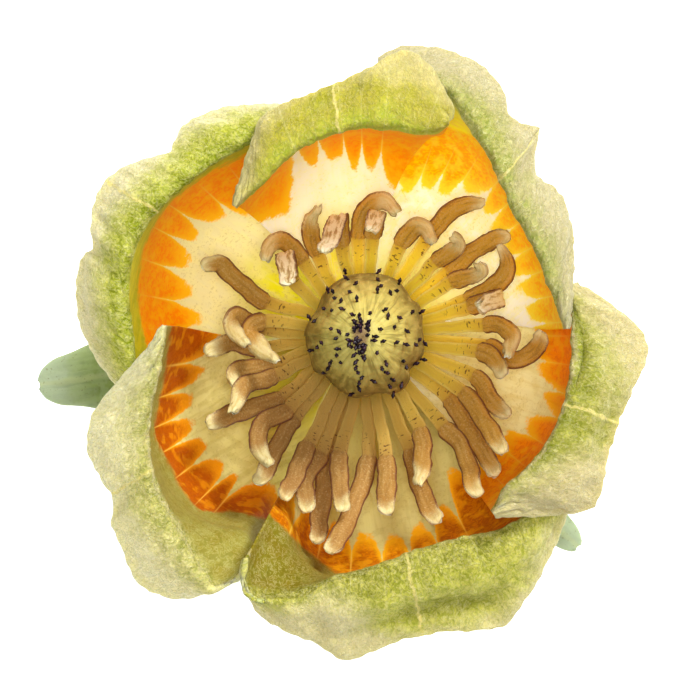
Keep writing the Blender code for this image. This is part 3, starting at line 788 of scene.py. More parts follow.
        pale_tone_and_highlight=((135, 0.45), (124, 0.3), (112, -0.1), (100, -0.25), (90, -0.15), (80, 0.0), (68, -0.1)),
        dents=((84, 0.55, 6.0, 0.25, 0.5), (101, 0.7, 6.0, 0.25, -0.4), (114, 0.6, 5.0, 0.3, 0.4),
            (76, 0.8, 3.0, 0.3, 0.3)),
        finish=PetalFinish(throat=paint(250, 236, 60), cream=paint(255, 250, 216),
            orange=paint(255, 166, 0), ember=paint(238, 122, 0), glow=0.2, shade=paint(250, 238, 190),
            flap=paint(172, 164, 44), flap_light=paint(204, 190, 82), rim=paint(216, 200, 138), weave=0.65,
            speck=paint(196, 176, 106), crest=paint(184, 196, 62))),
)


@dataclass(frozen=True)
class StamenFinish:
    """The colours of the stamens."""

    filament: Colour = paint(252, 222, 60)
    filament_shade: Colour = paint(194, 158, 84)
    filament_lit_edge: Colour = paint(255, 240, 140)
    back: Colour = paint(218, 168, 58)
    back_shade: Colour = paint(166, 124, 66)
    seam: Colour = paint(104, 58, 46)
    tip: Colour = paint(230, 214, 142)
    pollen: Colour = paint(250, 246, 210)
    pollen_shade: Colour = paint(212, 198, 142)

    def build(self, name: str) -> bpy.types.Material:
        """Paints a stamen by the marks on its corners.

        Args:
            name: the material's name.

        Returns:
            The material.
        """
        board = Board(name)
        run, beyond, left = board.marks("strap")
        face, across, seed = board.marks("section")
        sun, lean, _ = board.marks("sun")
        streak = board.clouds(board.vector(across * 2.8 + seed * 9.0, run * 0.3, seed), 1.0, 3.0)
        crumb = board.clouds(board.vector(across + seed * 5.0, run, face * 0.5), 0.22, 2.0)
        speckle = board.clouds(board.vector(across * 0.6 + seed * 5.0, run * 1.5, seed * 3.0), 0.5, 1.0)

        # Filaments: painted light and shade by the sun mark, lighter for stamens on the brighter side, and
        # painted light through their thin edges.
        filament = board.coats(
            self.filament_shade, (sun, self.filament),
            (abs(across).rise(0.5, 0.95) * (sun * 0.6 + 0.1), self.filament_lit_edge),
            (streak.rise(0.45, 0.7) * 0.35, paint(206, 166, 76)),
            (run.rise(5.0, 0.0) * 0.6, paint(206, 192, 74)))
        near = beyond.rise(-4.0, -1.2) * beyond.rise(0.5, -0.1)
        speck = speckle.rise(0.64, 0.67) * near * abs(across).rise(0.95, 0.7)
        filament = board.mix(speck, filament, paint(64, 38, 26))

        # The anther's back: painted light and shade by the sun mark, and painted light along its edges on
        # the brighter side, under its own streaks and pollen crumbs.
        back = board.mix(sun, self.back_shade, self.back)
        filament = board.mix(beyond.rise(-3.0, 0.0) * 0.5, filament, back)
        back = board.coats(
            back, (abs(across).rise(0.3, 0.8) * sun * 0.4, paint(216, 160, 56)),
            (streak.rise(0.48, 0.66) * (sun * 0.2 + 0.2), paint(216, 180, 112)),
            (streak.rise(0.48, 0.34) * (sun * 0.3 + 0.2), paint(130, 88, 40)),
            (crumb.rise(0.54, 0.70) * 0.35, paint(226, 198, 140)),
            (crumb.rise(0.44, 0.30) * 0.3, paint(120, 80, 48)))
        pleat = board.clouds(board.vector(across * 2.8 + seed * 3.0, run * 0.6, seed * 7.0), 1.0, 3.0)
        pale = board.coats(
            self.pollen_shade, ((pleat + (crumb - 0.5) * 0.25).rise(0.40, 0.56), self.pollen),
            (pleat.rise(0.43, 0.33) * 0.6, paint(150, 112, 70)))
        under = face.rise(0.15, -0.35)
        worn = left - abs(across) ** 3.0 * 1.2 - across * lean * 0.8 + (crumb - 0.5) * 2.4
        tip = worn.rise(1.2, -0.9)
        pale = board.mix(under, board.mix(0.7, pale, self.tip), pale)
        body = board.mix(board.maths("MAXIMUM", under, tip * 0.82), back, pale)
        colour = board.mix((beyond + (streak - 0.5) * 0.6).rise(-0.35, 0.1), filament, body)
        seam = (abs(across) + (crumb - 0.5) * 0.25).rise(0.75, 0.92) * beyond.rise(-0.2, 0.05)
        colour = board.mix(seam * (1.0 - tip * 0.6) * 0.85, colour, self.seam)
        # Painted glow: on the brighter side the filament and the anther's foot give off light in their own
        # colour, standing in for light shining through them.
        painted_filament_glow = board.mix(sun * beyond.rise(3.0, -2.0), BLACK, colour)
        return board.finish(
            Base_Color=colour, Roughness=0.5, Normal=board.bump(crumb * 0.7 + streak * 0.3, 0.12),
            Emission_Color=painted_filament_glow, Emission_Strength=0.12, Specular_IOR_Level=0.3,
            **flesh(0.2, (1.0, 0.95, 0.8), 0.5))


@dataclass(frozen=True)
class Stamen:
    """One stamen: which tier it stands in, and its line as seen from above."""

    number: int
    tier: int
    fold: int  # the point from which its tip lies folded back over it, or 0
    plan: Table  # (azimuth, radius) of each point; the anther starts at the second
    pale: float = 0.9  # how much of the tip shows the pale face
    taper: float = 0.1  # how much narrower its last 4 mm get
    width: float = 1.95
    rows: int = 85  # rings of corners along it
    faces: int = 22  # faces round it

    def line(self) -> np.ndarray:
        """The centre line's points, in millimetres: out from the receptacle and steadily up."""
        places = [around(self.plan[0][0], FOOT_R, 0.0)]
        heights, run = [TIER_Z[self.tier]], 0.0
        for number, (azimuth, radius) in enumerate(self.plan):
            places.append(around(azimuth, radius, 0.0))
            run += float(np.linalg.norm(places[-1] - places[-2]))
            rise = TIER_SLOPE[self.tier] * run + BEND * run * run
            folded = self.fold and number >= self.fold
            heights.append(TIER_Z[self.tier] + rise + (FOLD_Z if folded else 0.0))
        return np.array([(x, y, z) for (x, y, _), z in zip(places, heights)])

    def build(self, material: bpy.types.Material) -> bpy.types.Object:
        """Builds the stamen as a closed strap and stands it for its CAD node."""
        sheet = Sheet(self.faces, self.rows - 1)
        line = self.line()
        points = line_through(line, self.rows)
        run = run_of(points, 0)
        joint = 2.0 / (len(line) - 1)
        start = float(np.interp(joint, np.linspace(0, 1, self.rows), run))
        even = np.linspace(0, run[-1], self.rows)
        points = np.stack([np.interp(even, run, points[:, axis]) for axis in range(3)], axis=-1)
        beyond, left = even - start, even[-1] - even
        tangent = np.gradient(points, axis=0)
        tangent /= np.linalg.norm(tangent, axis=1, keepdims=True)
        turn = math.radians(self.plan[0][0] + 90.0)
        side, sides = np.array((math.cos(turn), math.sin(turn), 0.0)), []
        for way in tangent:
            level = np.array((-way[1], way[0], 0.0))
            if np.linalg.norm(level) > 0.3:
                side = side + 0.25 * level / np.linalg.norm(level) * np.sign(level.dot(side))
            side = side - way * side.dot(way)
            side = side / np.linalg.norm(side)
            sides.append(side)
        sides = np.array(sides)
        ups = np.cross(tangent, sides)

        sway = grain(gather(even * 0.35, self.number * 5.1, 0.0), 1.0)
        lean = math.sin(self.number * 2.4)
        points = points + sides * (0.18 * sway * step_up(even, 2.0, 5.0)
                                   + 0.35 * lean * step_up(-left, -2.0, 0.0))[:, None]

        on_anther = step_up(beyond, -0.1, 0.3)
        filament = 0.95 + 0.5 * np.clip(even / max(start, 1.0), 0, 1)
        full = filament + (self.width - filament) * on_anther
        nap = grain(gather(even, self.number * 3.7, 0.0), 2.4)
        full *= 1.0 + 0.12 * nap * on_anther
        end = np.sqrt(np.clip(1.0 - (1.0 - np.clip(left / 1.0, 0, 1)) ** 2, 0, 1))
        curled = 1.0 if self.fold or self.pale >= 1.8 else 0.0
        full *= (0.12 + 0.88 * end) * (1.0 - self.taper * step_up(-left, -4.0, -0.4))
        lip = np.exp(-(((left - 0.5) / 0.45) ** 2))
        thick = (0.42 + 0.22 * on_anther * step_up(left, 0.3, 2.2) + 0.3 * lip) * (0.12 + 0.88 * end)

        angle = (sheet.u - 0.25) * 2.0 * np.pi
        cosine, sine = np.cos(angle), np.sin(angle)
        x = np.sign(cosine) * abs(cosine) ** 0.8
        y = np.sign(sine) * abs(sine) ** 0.85
        row = np.arange(self.rows)[:, None]
        crinkle = grain(gather(x * 1.1 + self.number, even[row] * 0.28, y * 0.7), 0.5, 3.0)
        tip = step_up(beyond, 0.0, 1.5)[row] * (0.5 + 0.5 * step_up(-left, -3.5, -0.5)[row])
        ridge = -0.16 * np.cos(x * 2.4 * np.pi) * on_anther[row]
        y = y + np.where(y < 0, 0.22, 0.06) * np.cos(x * 8.0 + self.number) * tip * (0.4 + 0.6 * curled)
        y = y * (1.0 + ridge) + 0.45 * crinkle * tip * np.where(y < 0, 1.0, 0.3 + 0.5 * lip[row])
        ragged = grain(gather(x * 0.8 + self.number * 2.0, even[row], 0.0), 0.6, 3.0)
        ragged = (0.07 + 0.07 * curled) * ragged * on_anther[row]
        x = x * (1.0 + ragged * (0.5 + step_up(-left, -4.0, -0.5)[row]))
        jag = grain(gather(x * 1.5, self.number, 0.0), 0.5, 2.0)
        jag = (0.5 + 0.6 * curled) * jag * step_up(-left, -1.8, -0.2)[row]
        roll = -0.16 + 0.42 * (1.0 - curled) * step_up(-left, -5.0, -1.0)
        droop = roll[row] * x * x * on_anther[row]
        offset = (sides[row] * (0.5 * full[row] * x)[..., None]
                  + ups[row] * (0.5 * thick[row] * y + droop * full[row] * 0.5)[..., None]
                  + tangent[row] * jag[..., None])
        grid = points[row] + offset
        closed = (sheet.v < 1e-6) | (sheet.v > 1 - 1e-6)
        grid = np.where(closed[..., None], points[row], grid)
        sheet.place(grid)
        sheet.mark("strap", even[row], beyond[row], left[row] - self.pale)
        sheet.mark("section", y, x, (self.number * 0.618) % 1.0)
        sheet.mark("sun", 0.5 + 0.5 * math.cos(math.radians(self.plan[0][0] - SUN)), lean)
        sheet.weld()
        node = f"stamen_{self.number:02d}"
        return settle(as_object(f"{node}_strap", sheet.mesh, material), "stamen", node)


SUN = 60.0  # the azimuth of the brighter side
FOOT_R = 4.05  # how far from the axis the stamens spring
TIER_Z = (16.0, 17.4, 18.8)
TIER_SLOPE = (0.66, 0.78, 0.90)
BEND = 0.012  # how much steeper a stamen gets for each millimetre of its run
FOLD_Z = 2.1  # how far a folded tip lies above its anther
STAMENS = tuple(Stamen(number, *row) for number, row in enumerate((
    (2, 0, ((6, 6.0), (5.5, 12.2), (3.0, 14.3), (359, 14.9), (352, 14.3)), 2.4, 0.35),
    (1, 3, ((14, 6.0), (15.5, 11.0), (15.5, 14.3), (15.6, 11.7))),
    (0, 0, ((19, 6.0), (19.5, 11.0), (21.5, 14.2), (26.5, 16.2), (34, 16.7)), 1.0, 0.45),
    (1, 0, ((30, 6.0), (31.5, 10.4), (29, 13.2), (32.5, 13.6)), 1.8, 0.3),
    (0, 0, ((38, 6.0), (37.5, 10.8), (38, 14.4), (36, 18.0)), 0.6),
    (2, 0, ((46, 6.0), (46, 10.4), (44, 13.1), (48, 13.7)), 2.0, 0.3),
    (0, 0, ((59, 6.0), (56.5, 11.6), (55.5, 15.2), (49, 18.4)), 0.8, 0.3),
    (1, 0, ((68, 6.0), (67.5, 9.9), (65, 12.0), (60, 12.4), (53.5, 11.4)), 3.0, 0.35),
    (2, 3, ((84, 6.0), (85, 10.0), (84, 12.4), (85.5, 10.5)), 0.8),
    (1, 0, ((95, 6.0), (93, 10.0), (90, 12.6), (83, 13.7), (74.5, 13.1)), 3.0, 0.25),
    (2, 3, ((104, 6.0), (104, 9.4), (102, 12.2), (114.5, 9.1))),
    (0, 0, ((122, 6.0), (119.5, 9.5), (116.5, 12.2), (110.5, 14.0)), 2.0, 0.4),
    (1, 0, ((133, 6.0), (129, 9.8), (129.5, 12.4), (136, 13.1), (142.5, 12.4)), 2.6, 0.35),
    (2, 3, ((146, 6.0), (141, 9.2), (134, 11.4), (144.5, 8.9))),
    (0, 0, ((157, 6.0), (161, 10.4), (156, 13.8), (153.5, 16.4), (158, 17.4)), 0.6),
    (2, 0, ((170, 6.0), (171, 10.2), (177, 11.4), (187, 10.4), (197, 9.2)), 4.0, 0.45),
    (1, 0, ((178, 6.0), (176, 10.2), (170.5, 13.0), (176, 13.2), (184.5, 11.8)), 3.4, 0.4),
    (0, 0, ((186, 6.0), (186, 10.8), (182.5, 13.6), (187.5, 15.9)), 1.6),
    (1, 0, ((194, 6.0), (198, 9.8), (195, 13.4), (201, 14.2)), 1.4, 0.3),
    (2, 0, ((203, 6.0), (204, 9.8), (203, 13.0), (210.5, 15.2)), 2.2, 0.35),
    (0, 0, ((212, 6.0), (217, 10.4), (211, 14.6), (209.5, 18.2)), 0.8),
    (2, 0, ((221, 6.0), (224, 10.6), (220.5, 13.2), (226, 15.2), (234, 16.2)), 2.6, 0.4),
    (1, 0, ((230, 6.0), (230, 10.8), (232, 14.4), (235, 18.4)), 1.2),
    (2, 0, ((241, 6.0), (243, 12.2), (244, 16.0), (242.5, 18.3)), 0.4),
    (1, 0, ((250, 6.0), (249.5, 12.6), (247.5, 15.4), (252.5, 18.6)), 0.8),
    (0, 0, ((256, 6.0), (254, 11.6), (255.5, 17.0), (257.7, 21.4)), 0.4),
    (2, 0, ((262, 6.0), (258.5, 12.0), (261, 15.0), (262, 17.8)), 1.2),
    (1, 0, ((272, 6.0), (272, 12.2), (266.5, 17.0), (261.5, 22.2)), 0.3),
    (2, 0, ((281, 6.0), (280.5, 12.4), (278.5, 15.4), (276.6, 18.1)), 0.9),
    (0, 0, ((292, 6.0), (292, 12.4), (290.5, 16.2), (291.3, 20.3)), 0.9),
    (2, 0, ((303, 6.0), (301, 11.0), (295, 13.8), (291, 16.0)), 1.8, 0.3),
    (1, 0, ((312, 6.0), (311.5, 12.2), (310.5, 15.6), (304.3, 19.7)), 1.2),
    (0, 0, ((324, 6.0), (323.4, 10.6), (317.5, 15.0), (314, 19.5)), 0.8),
    (2, 0, ((333, 6.0), (330.5, 11.4), (325, 14.6), (320.5, 18.4)), 1.2),
    (1, 0, ((342, 6.0), (340, 11.8), (334, 14.2), (329.8, 16.6)), 0.9),
    (2, 0, ((350, 6.0), (352.5, 11.6), (348.5, 13.6), (345, 14.9)), 1.0),
    (0, 0, ((357, 6.0), (355, 12.4), (350.8, 15.2), (355, 17.2), (361, 18.3)), 0.6),
), start=1))


@dataclass(frozen=True)
class Pistil:
    """The cone of fused carpels, with a dark curled stigma on each."""

    foot_z: float = 20.1
    top: float = 23.15  # its height over the foot
    mean: float = 6.1  # the radius that the outline varies about
    profile: Table = ((0.0, 3.2), (2.2, 4.7), (5.5, 5.7), (9.5, 6.1), (13.0, 6.0), (16.5, 5.4), (19.6, 4.2),
                      (21.9, 2.4), (22.9, 0.9))  # (height over the foot, radius)
    outline: Table = (
        (-172, 5.85), (-158.7, 5.79), (-145.8, 6.05), (-134, 5.6), (-111.4, 6.02), (-98, 6.26), (-78, 5.87),
        (-63.4, 6.48), (-56, 6.6), (-42.8, 6.3), (-37, 5.7), (-16.8, 6.2), (-5.7, 6.03), (8.7, 5.92),
        (20.8, 6.2), (30.2, 6.36), (37.9, 6.02), (49.5, 6.31), (62.7, 6.5), (81.9, 6.36), (97.4, 6.25),
        (110.8, 6.2), (133, 5.87), (151, 5.4), (166, 5.77), (177, 6.0), (188, 5.85))  # (azimuth, radius)
    stigmas: Table = (
        (-1.80, 6.17), (-1.45, 5.54), (-1.04, 5.02), (-1.18, 4.25), (-0.70, 3.34), (1.21, 6.15),
        (1.57, 5.40), (1.40, 4.87), (1.35, 4.18), (3.48, 5.11), (3.01, 4.49), (2.74, 4.00),
        (-3.51, 4.16), (-2.98, 4.14), (-2.65, 3.73), (-2.41, 3.12), (-1.78, 2.55), (-3.72, 2.55),
        (-3.11, 2.20), (-4.53, 1.76), (-5.28, 1.55), (-2.98, 0.69), (-2.47, -0.05), (-2.19, 0.04),
        (-0.80, 2.00), (0.46, 2.03), (1.80, 2.45), (2.34, 1.55), (3.27, 1.94), (4.67, 2.20),
        (5.47, 2.21), (3.94, 0.73), (2.91, 0.62), (1.31, 0.71), (0.68, -0.01), (1.52, -0.63),
        (1.35, -1.39), (2.91, -0.79), (3.78, -0.72), (4.94, -0.65), (5.37, -0.58), (5.85, -0.44),
        (5.56, -2.30), (3.62, -2.45), (4.22, -2.81), (4.80, -2.90), (2.10, -2.40), (1.74, -3.02),
        (1.96, -3.58), (3.84, -4.50), (2.60, -4.22), (2.45, -4.84), (3.01, -5.51), (0.59, -4.31),
        (-0.03, -3.93), (-0.46, -4.41), (-0.67, -4.89), (-0.93, -5.65), (-0.75, -3.40), (-0.67, -2.88),
        (-0.53, -2.25), (-0.32, -1.87), (-2.00, -2.62), (-3.16, -2.35), (-3.34, -2.83), (-3.67, -3.69),
        (-2.68, -1.60), (-2.19, -1.28), (-4.93, -1.39), (-4.48, -0.87), (-3.98, -0.90), (-0.08, 1.33),
        (-0.70, 1.0), (-0.89, 0.52), (-0.51, 0.04), (-1.04, -0.53), (-0.37, -0.72), (-0.51, -1.35),
        (0.21, -1.25), (-1.28, -0.39), (-0.22, 0.23), (0.25, 0.76), (-0.62, -0.12), (-0.10, -0.30),
        (0.34, 0.30), (-0.30, 0.66), (0.08, 1.05), (-0.62, 1.42), (-0.95, -1.02), (-0.12, -1.02),
        (0.52, -0.42), (-0.85, 0.24), (-1.35, 0.30), (0.10, -1.75), (-0.30, 0.42), (-0.52, 0.78),
        (0.02, 0.62), (-0.12, 0.95), (-0.48, -0.30), (0.10, -0.62), (-0.28, -0.92), (-0.66, -1.60),
        (-0.45, 1.75), (0.05, -0.02), (0.30, -0.75), (-0.70, -0.70))  # (x, y)

    def dome(self, x: np.ndarray, y: np.ndarray) -> np.ndarray:
        """The height of the cone's upper side over a place beside the axis."""
        azimuth = np.degrees(np.arctan2(y, x))
        share = np.hypot(x, y) / (through(self.outline, azimuth)[..., 0] / self.mean)
        upper = tuple((radius, height) for height, radius in self.profile[3:]) + ((0.0, self.top),)
        return self.foot_z + through(upper, share)[..., 0]

    def skin(self) -> bpy.types.Material:
        """Paints the carpels olive, and pale yellow towards the top."""
        board = Board("carpels")
        groove, height, _ = board.marks("carpel")
        east, north, crowd = board.marks("way")
        cloud = board.clouds(board.spot(), 2.2, 3.0, 0.3)
        streak = board.clouds(board.vector(east * 9.0, north * 9.0, height * 0.35), 1.0, 4.0, 0.3)
        colour = board.coats(
            paint(116, 106, 48), (height.rise(33.0, 42.5), paint(206, 192, 102)),
            (cloud.rise(0.42, 0.66) * 0.4, paint(206, 190, 104)),
            (streak.rise(0.5, 0.36) * height.rise(43.0, 41.5) * 0.5, paint(108, 94, 40)),
            (streak.rise(0.52, 0.66) * 0.4, paint(228, 212, 124)), (groove * 0.15, paint(110, 100, 44)),
            ((crowd + (streak - 0.5) * 0.8).rise(1.3, 0.5) * 0.75, paint(122, 80, 66)))
        return board.finish(
            Base_Color=colour, Roughness=0.5, Normal=board.bump(cloud + streak, 0.09),
            Specular_IOR_Level=0.3, **flesh(0.2, (1.0, 0.8, 0.3), 0.8))

    def build(self) -> None:
        """Builds the cone and its stigmas."""
        sheet = Sheet(150, 120)
        azimuth = sheet.u * 360.0 - 180.0
        height, radius = line_through(self.profile + ((self.top, 0.0),), len(azimuth)).T
        factor = through(self.outline, azimuth)[..., 0] / self.mean
        factor = 1.0 + (factor - 1.0) * np.sin(np.pi * np.clip(height / 22.0, 0, 1))[:, None] ** 0.5
        points = around(azimuth, radius[:, None] * factor, self.foot_z + height[:, None])
        local = points - CENTRE
        spots = np.array([(x, y, float(self.dome(np.array(x), np.array(y)))) for x, y in self.stigmas])
        ring = np.arange(36)  # carpels low on the cone, which have no stigma
        lower = around(10.0 * ring, 5.9, 22.0 + (ring % 4) * 2.0) - CENTRE
        gaps = np.linalg.norm(local[..., None, :] - np.concatenate((spots, lower)), axis=-1)
        near = np.sort(gaps, axis=-1)
        groove = 1.0 - step_up(near[..., 1] - near[..., 0], 0.0, 0.4)
        relief = 0.06 * step_up(-near[..., 0], -1.2, 0.0) - 0.03 * groove
        relief += 0.08 * grain(points, 1.6, 2.0)
        relief *= step_up(23.0 - height[:, None], 0.0, 0.8) * step_up(height[:, None], 0.0, 1.0)
        sheet.place(points + normals(points) * relief[..., None])
        sheet.mark("way", np.cos(np.radians(azimuth)), np.sin(np.radians(azimuth)),
                   np.hypot((local[..., 0] + 0.35) / 0.9, (local[..., 1] - 0.1) / 1.6))
        sheet.mark("carpel", groove, self.foot_z + height[:, None])
        sheet.weld()
        rim = [edge for edge in sheet.mesh.edges if edge.is_boundary]
        bmesh.ops.holes_fill(sheet.mesh, edges=rim, sides=0)
        bmesh.ops.recalc_face_normals(sheet.mesh, faces=sheet.mesh.faces)
        settle(as_object("pistil_cone", sheet.mesh, self.skin()), "pistil", "pistil")
        self.hooks(spots)

    def hooks(self, spots: np.ndarray) -> None:
        """Builds the stigmas: a small dark curl on each carpel."""
        board = Board("stigma")
        cloud = board.clouds(board.spot(), 0.4, 2.0)
        material = board.finish(
            Base_Color=board.mix(cloud.rise(0.4, 0.7), paint(18, 9, 20), paint(56, 28, 44)),
            Roughness=0.4, Normal=board.bump(cloud, 0.1), Specular_IOR_Level=0.3)
        whole = bmesh.new()
        for number, (x, y, z) in enumerate(spots):
            sheet = Sheet(7, 7)
            swing = math.atan2(y, x) + 0.9 * math.sin(number * 2.4)
            out = np.array((math.cos(swing), math.sin(swing), 0.0))
            flat = np.array((-out[1], out[0], 0.0))
            tall = 1.05 + 0.25 * math.sin(number * 1.7)
            s = np.linspace(0, 1, 8)[:, None]
            centre = (np.array((x + CENTRE[0], y + CENTRE[1], z - 0.1))
                      + out * (0.72 * s * tall) + np.array((0, 0, 1.0)) * np.sin(s * 2.4) * 0.26 * tall)
            thick = 0.21 * (0.8 + 0.3 * np.cos(s * 11.0)) * np.sqrt(np.clip(1.02 - s**4, 0, 1))
            turn = sheet.u * 2 * np.pi
            ring = (flat * np.cos(turn)[..., None]
                    + (out * 0.6 + np.array((0, 0, 0.8))) * np.sin(turn)[..., None])
            grid = centre[:, None, :] + ring * thick[..., None]
            grid[0], grid[-1] = centre[0], centre[-1]
            sheet.place(grid)
            sheet.weld()
            step = bpy.data.meshes.new("curl")
            sheet.mesh.to_mesh(step)
            sheet.mesh.free()
            whole.from_mesh(step)
            bpy.data.meshes.remove(step)
        settle(as_object("pistil_stigmas", whole, material), "pistil")


@dataclass(frozen=True)
class Sepal:
    """One sepal, arched out from the stalk and down to the ground, with a blunt tip."""

    node: str
    azimuth: float
    reach: float
    tip: float  # half its width near the tip
    foot: tuple[float, float] = (4.2, 11.0)  # (radius, height)
    arch: Table = ((0.26, 11.3), (0.46, 10.4), (0.64, 7.6), (0.80, 3.9), (0.92, 1.9), (1.0, 0.9))
    # The arch is in (share of the reach, height).
    widths: tuple[float, ...] = (2.6, 5.4, 6.3, 5.6)  # half widths from the foot on, in millimetres
    rounding: float = 2.2  # how far behind its end the tip starts to round off
    thickness: float = 0.8
    wrap: float = 1.2

    @staticmethod
    def skin() -> bpy.types.Material:
        """Paints a sepal grey-green, with lengthwise veins and a paler tip, partly its own pale bloom and
        partly a painted highlight.
        """
        board = Board("sepal_pale_tip")
        across, along, left = board.marks("lie")
        spot = board.spot()
        vein = board.clouds(board.vector(across * 1.7, along * 0.12), 1.0, 4.0)
        cloud = board.clouds(spot, 1.6, 4.0)
        rib = abs(across + (cloud - 0.5) * 0.6).rise(0.35, 0.08)
        speck = board.clouds(spot, 0.3, 1.0).rise(0.68, 0.72)
        # The paler tip is partly the sepal's own bloom and partly a painted highlight.
        colour = board.coats(
            paint(122, 140, 62), (vein.rise(0.40, 0.60), paint(140, 158, 78)),
            (cloud.rise(0.42, 0.60) * 0.6, paint(156, 172, 114)),
            ((left + (cloud - 0.5) * 6.0).rise(7.0, 0.0) * 0.7, paint(190, 202, 176)),
            (rib * 0.3, paint(196, 200, 140)), (speck * 0.4, paint(110, 100, 56)))
        return board.finish(
            Base_Color=colour, Roughness=0.6, Normal=board.bump(vein * 0.4 + cloud, 0.2),
            Specular_IOR_Level=0.3, **flesh(0.4, (0.8, 1.0, 0.5), 0.8))

    def build(self, material: bpy.types.Material) -> bpy.types.Object:
        """Builds the sepal and stands it for its CAD node."""
        sheet = Sheet(60, 110)
        rows = [self.foot, *((share * self.reach, height) for share, height in self.arch)]
        widths = (*self.widths, 1.3 * self.tip, 0.86 * self.tip, 0.86 * self.tip)
        line = np.array([(*row, width) for row, width in zip(rows, widths)])
        radius, height, half = line_through(line, len(sheet.v)).T
        left = run_of(gather(radius, height), 0)
        left = left[-1] - left
        half *= np.sqrt(np.clip(1.0 - np.clip(1.0 - left / self.rounding, 0, 1) ** 2, 0.02, 1))
        radius, height, half, left = (values[:, None] for values in (radius, height, half, left))
        length, side = sheet.v, 2.0 * sheet.u - 1.0
        curl = (0.2 + 0.5 * length) * step_up(left, -0.5, 6.0)
        radius = radius - 0.2 * half * side**2
        height = height - curl * half * side**2 * (0.6 + 0.8 * np.maximum(length - 0.5, 0))
        offset = half * np.sin(side * self.wrap) / math.sin(self.wrap)
        height = np.maximum(height, 0.5 * self.thickness + 0.1)
        turned = self.azimuth + np.degrees(np.arctan2(offset, radius))
        smooth = around(turned, np.hypot(radius, offset), height)
        along = run_of(smooth, 0)
        lie = gather(offset, 0.3 * along, 0.0)
        relief = 0.22 * grain(lie + self.azimuth, 2.2)
        relief += 0.10 * grain(lie * (3.0, 1.0, 1.0) + self.azimuth, 1.6)
        relief -= 0.12 * np.exp(-((offset / 0.5) ** 2))
        calm = step_up(height, 1.0, 2.0) * step_up(left, 0.3, 2.4)
        points = smooth + normals(smooth) * (relief * calm)[..., None]
        sheet.place(points)
        sheet.mark("lie", offset, along, left)
        made = as_object(f"{self.node}_leaf", sheet.mesh, material)
        thicken(made, self.thickness)
        return settle(made, "sepal", self.node)


SEPALS = (
    Sepal("sepal_left", 188.5, 33.1, 2.7),
    Sepal("sepal_right", 315.4, 30.3, 1.6),
    Sepal("sepal_back", 68.0, 27.0, 2.4),
)


@dataclass(frozen=True)
class Stalk:
    """The stalk: its cut end, the scars under the calyx and the swollen seat of the flower."""

    profile: Table = ((2.1, 0.0), (2.14, 2.0), (2.2, 4.0), (2.25, 6.0), (2.3, 7.6), (2.8, 9.2), (3.6, 10.4),
                      (3.7, 12.5), (3.7, 15.0), (3.6, 17.5), (3.5, 19.7))  # (radius, height)
    top: float = 19.8
    scars: Table = ((7.3, 0.28, 0.16), (7.9, 0.2, -0.12), (9.7, 0.3, 0.14), (10.2, 0.2, -0.1))
    # Each scar is (height, half its width, how far it stands out).

    def skin(self) -> bpy.types.Material:
        """Paints the stalk green with pale pores, and its cut face with a ring round the pith."""
        board = Board("stalk_bark")
        height, radius, turn = board.marks("stem")
        spot = board.spot()
        stripe = board.clouds(board.vector(turn * 26.0, height * 0.35), 1.0, 3.0)
        cloud = board.clouds(spot, 1.2, 3.0)
        pore = board.clouds(board.vector(turn * 20.0, height * 0.8), 0.55, 1.0).rise(0.66, 0.70)
        bark = board.coats(
            paint(112, 124, 56), (height.rise(2.0, 11.0), paint(168, 176, 92)),
            (stripe.rise(0.44, 0.62) * 0.5, paint(142, 120, 66)),
            (cloud.rise(0.5, 0.66) * 0.4, paint(176, 182, 116)), (pore * 0.7, paint(206, 196, 150)))
        wood = board.coats(
            paint(222, 212, 168), ((radius + (cloud - 0.5) * 0.2).rise(0.9, 1.1), paint(196, 196, 116)),
            (abs(radius - 1.72).rise(0.22, 0.05) * 0.7, paint(120, 132, 60)))
        cut = height.rise(0.16, 0.04) * radius.rise(2.08, 2.0)
        colour = board.mix(cut, bark, wood)
        return board.finish(
            Base_Color=colour, Roughness=0.62, Normal=board.bump(stripe + pore * 0.6, 0.15),
            Specular_IOR_Level=0.3)

    def build(self) -> bpy.types.Object:
        """Builds the stalk and stands it for its CAD node."""
        sheet = Sheet(96, 150)
        azimuth = sheet.u * 360.0 - 180.0
        cut, top = 12, 8  # rows across the cut face and across the seat
        radius, height = line_through(self.profile, len(azimuth) - cut - top).T
        radius = np.concatenate((np.linspace(0, 1.95, cut), radius, np.linspace(3.4, 0, top)))
        height = np.maximum(height, 0.06)
        height = np.concatenate((np.linspace(0.10, 0.0, cut), height, np.full(top, self.top)))
        side = step_up(height, 0.0, 0.5) * step_up(-height, -19.6, -18.8)
        scar = sum(depth * np.exp(-(((height - place) / wide) ** 2)) for place, wide, depth in self.scars)
        ridge = 0.05 * np.cos(np.radians(azimuth) * 7.0) + 0.02 * np.cos(np.radians(azimuth) * 19.0 + 1.0)
        wide = radius[:, None] + (ridge + scar[:, None]) * side[:, None]
        points = around(azimuth, wide, height[:, None])
        # The relief's noise is read where the first and last columns meet as one place.
        wide = wide + 0.07 * grain(points, 1.4, 3.0) * side[:, None]
        sheet.place(around(azimuth, wide, height[:, None]))
        sheet.mark("stem", height[:, None], wide, abs(azimuth) / 180.0)
        sheet.weld()
        return settle(as_object("stalk_bark", sheet.mesh, self.skin()), "stalk", "stalk")


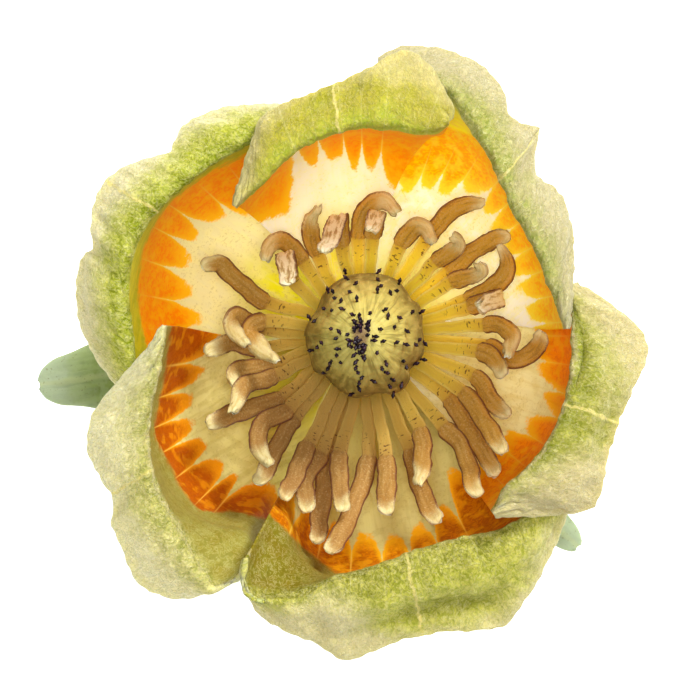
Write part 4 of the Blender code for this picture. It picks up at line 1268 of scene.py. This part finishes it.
@dataclass(frozen=True)
class Studio:
    """The floor, the lamps and the camera."""

    field: float = 70.0  # how wide the view is at the height of the rim
    rim_z: float = 44.0
    lens: float = 1500.0
    centre: tuple[float, float] = (0.6, 0.0)
    aim: tuple[float, float, float] = (0.0, 0.0, 0.03)  # where the lamps look, in metres

    def floor(self) -> None:
        """Lays the plain pale floor."""
        sheet = bmesh.new()
        bmesh.ops.create_circle(sheet, cap_ends=True, segments=96, radius=4.0)
        pale = Board("pale_floor").finish(
            Base_Color=(0.6, 0.6, 0.6), Roughness=0.8, Specular_IOR_Level=0.1,
            Emission_Color=(1.0, 1.0, 1.0), Emission_Strength=1.0)
        as_object("floor", sheet, pale)

    def lamp(self, name: str, place: tuple[float, float, float], size: float, power: float) -> None:
        """Hangs a square soft lamp, in metres and watts, that looks at the flower."""
        data = bpy.data.lights.new(name, "AREA")
        data.size, data.energy = size, power
        made = stand(name, data)
        made.location = place
        made.rotation_euler = (Vector(self.aim) - Vector(place)).to_track_quat("-Z", "Y").to_euler()

    def camera(self) -> None:
        """Sets the camera straight over the cup."""
        data = bpy.data.cameras.new("camera")
        data.lens, data.sensor_width = self.lens, 36.0
        away = self.field * MM * self.lens / data.sensor_width
        data.clip_start, data.clip_end = 0.05, 20.0
        made = stand("camera", data)
        made.location = (self.centre[0] * MM, self.centre[1] * MM, self.rim_z * MM + away)
        bpy.context.scene.camera = made

    def build(self) -> None:
        """Builds the studio."""
        self.floor()
        self.lamp("soft_overhead", (0.0, 0.0, 1.5), 0.35, 12.5)
        self.lamp("soft_key", (0.35, 0.5, 0.6), 0.25, 6.5)
        world = bpy.data.worlds.new("room")
        world.use_nodes = True
        back = world.node_tree.nodes["Background"]
        back.inputs[0].default_value, back.inputs[1].default_value = (1.0, 1.0, 1.0, 1.0), 0.3
        bpy.context.scene.world = world
        bpy.context.scene.view_settings.view_transform = "Standard"
        self.camera()


def main() -> None:
    """Builds the flower and its studio."""
    logging.basicConfig(level=logging.INFO, format="%(name)s %(message)s")
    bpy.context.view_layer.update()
    Studio().build()
    for petal in PETALS:
        petal.build()
    strap = StamenFinish().build("stamen_strap")
    for stamen in STAMENS:
        stamen.build(strap)
    Pistil().build()
    sepal_skin = Sepal.skin()
    for sepal in SEPALS:
        sepal.build(sepal_skin)
    Stalk().build()


if __name__ == "__main__":
    main()
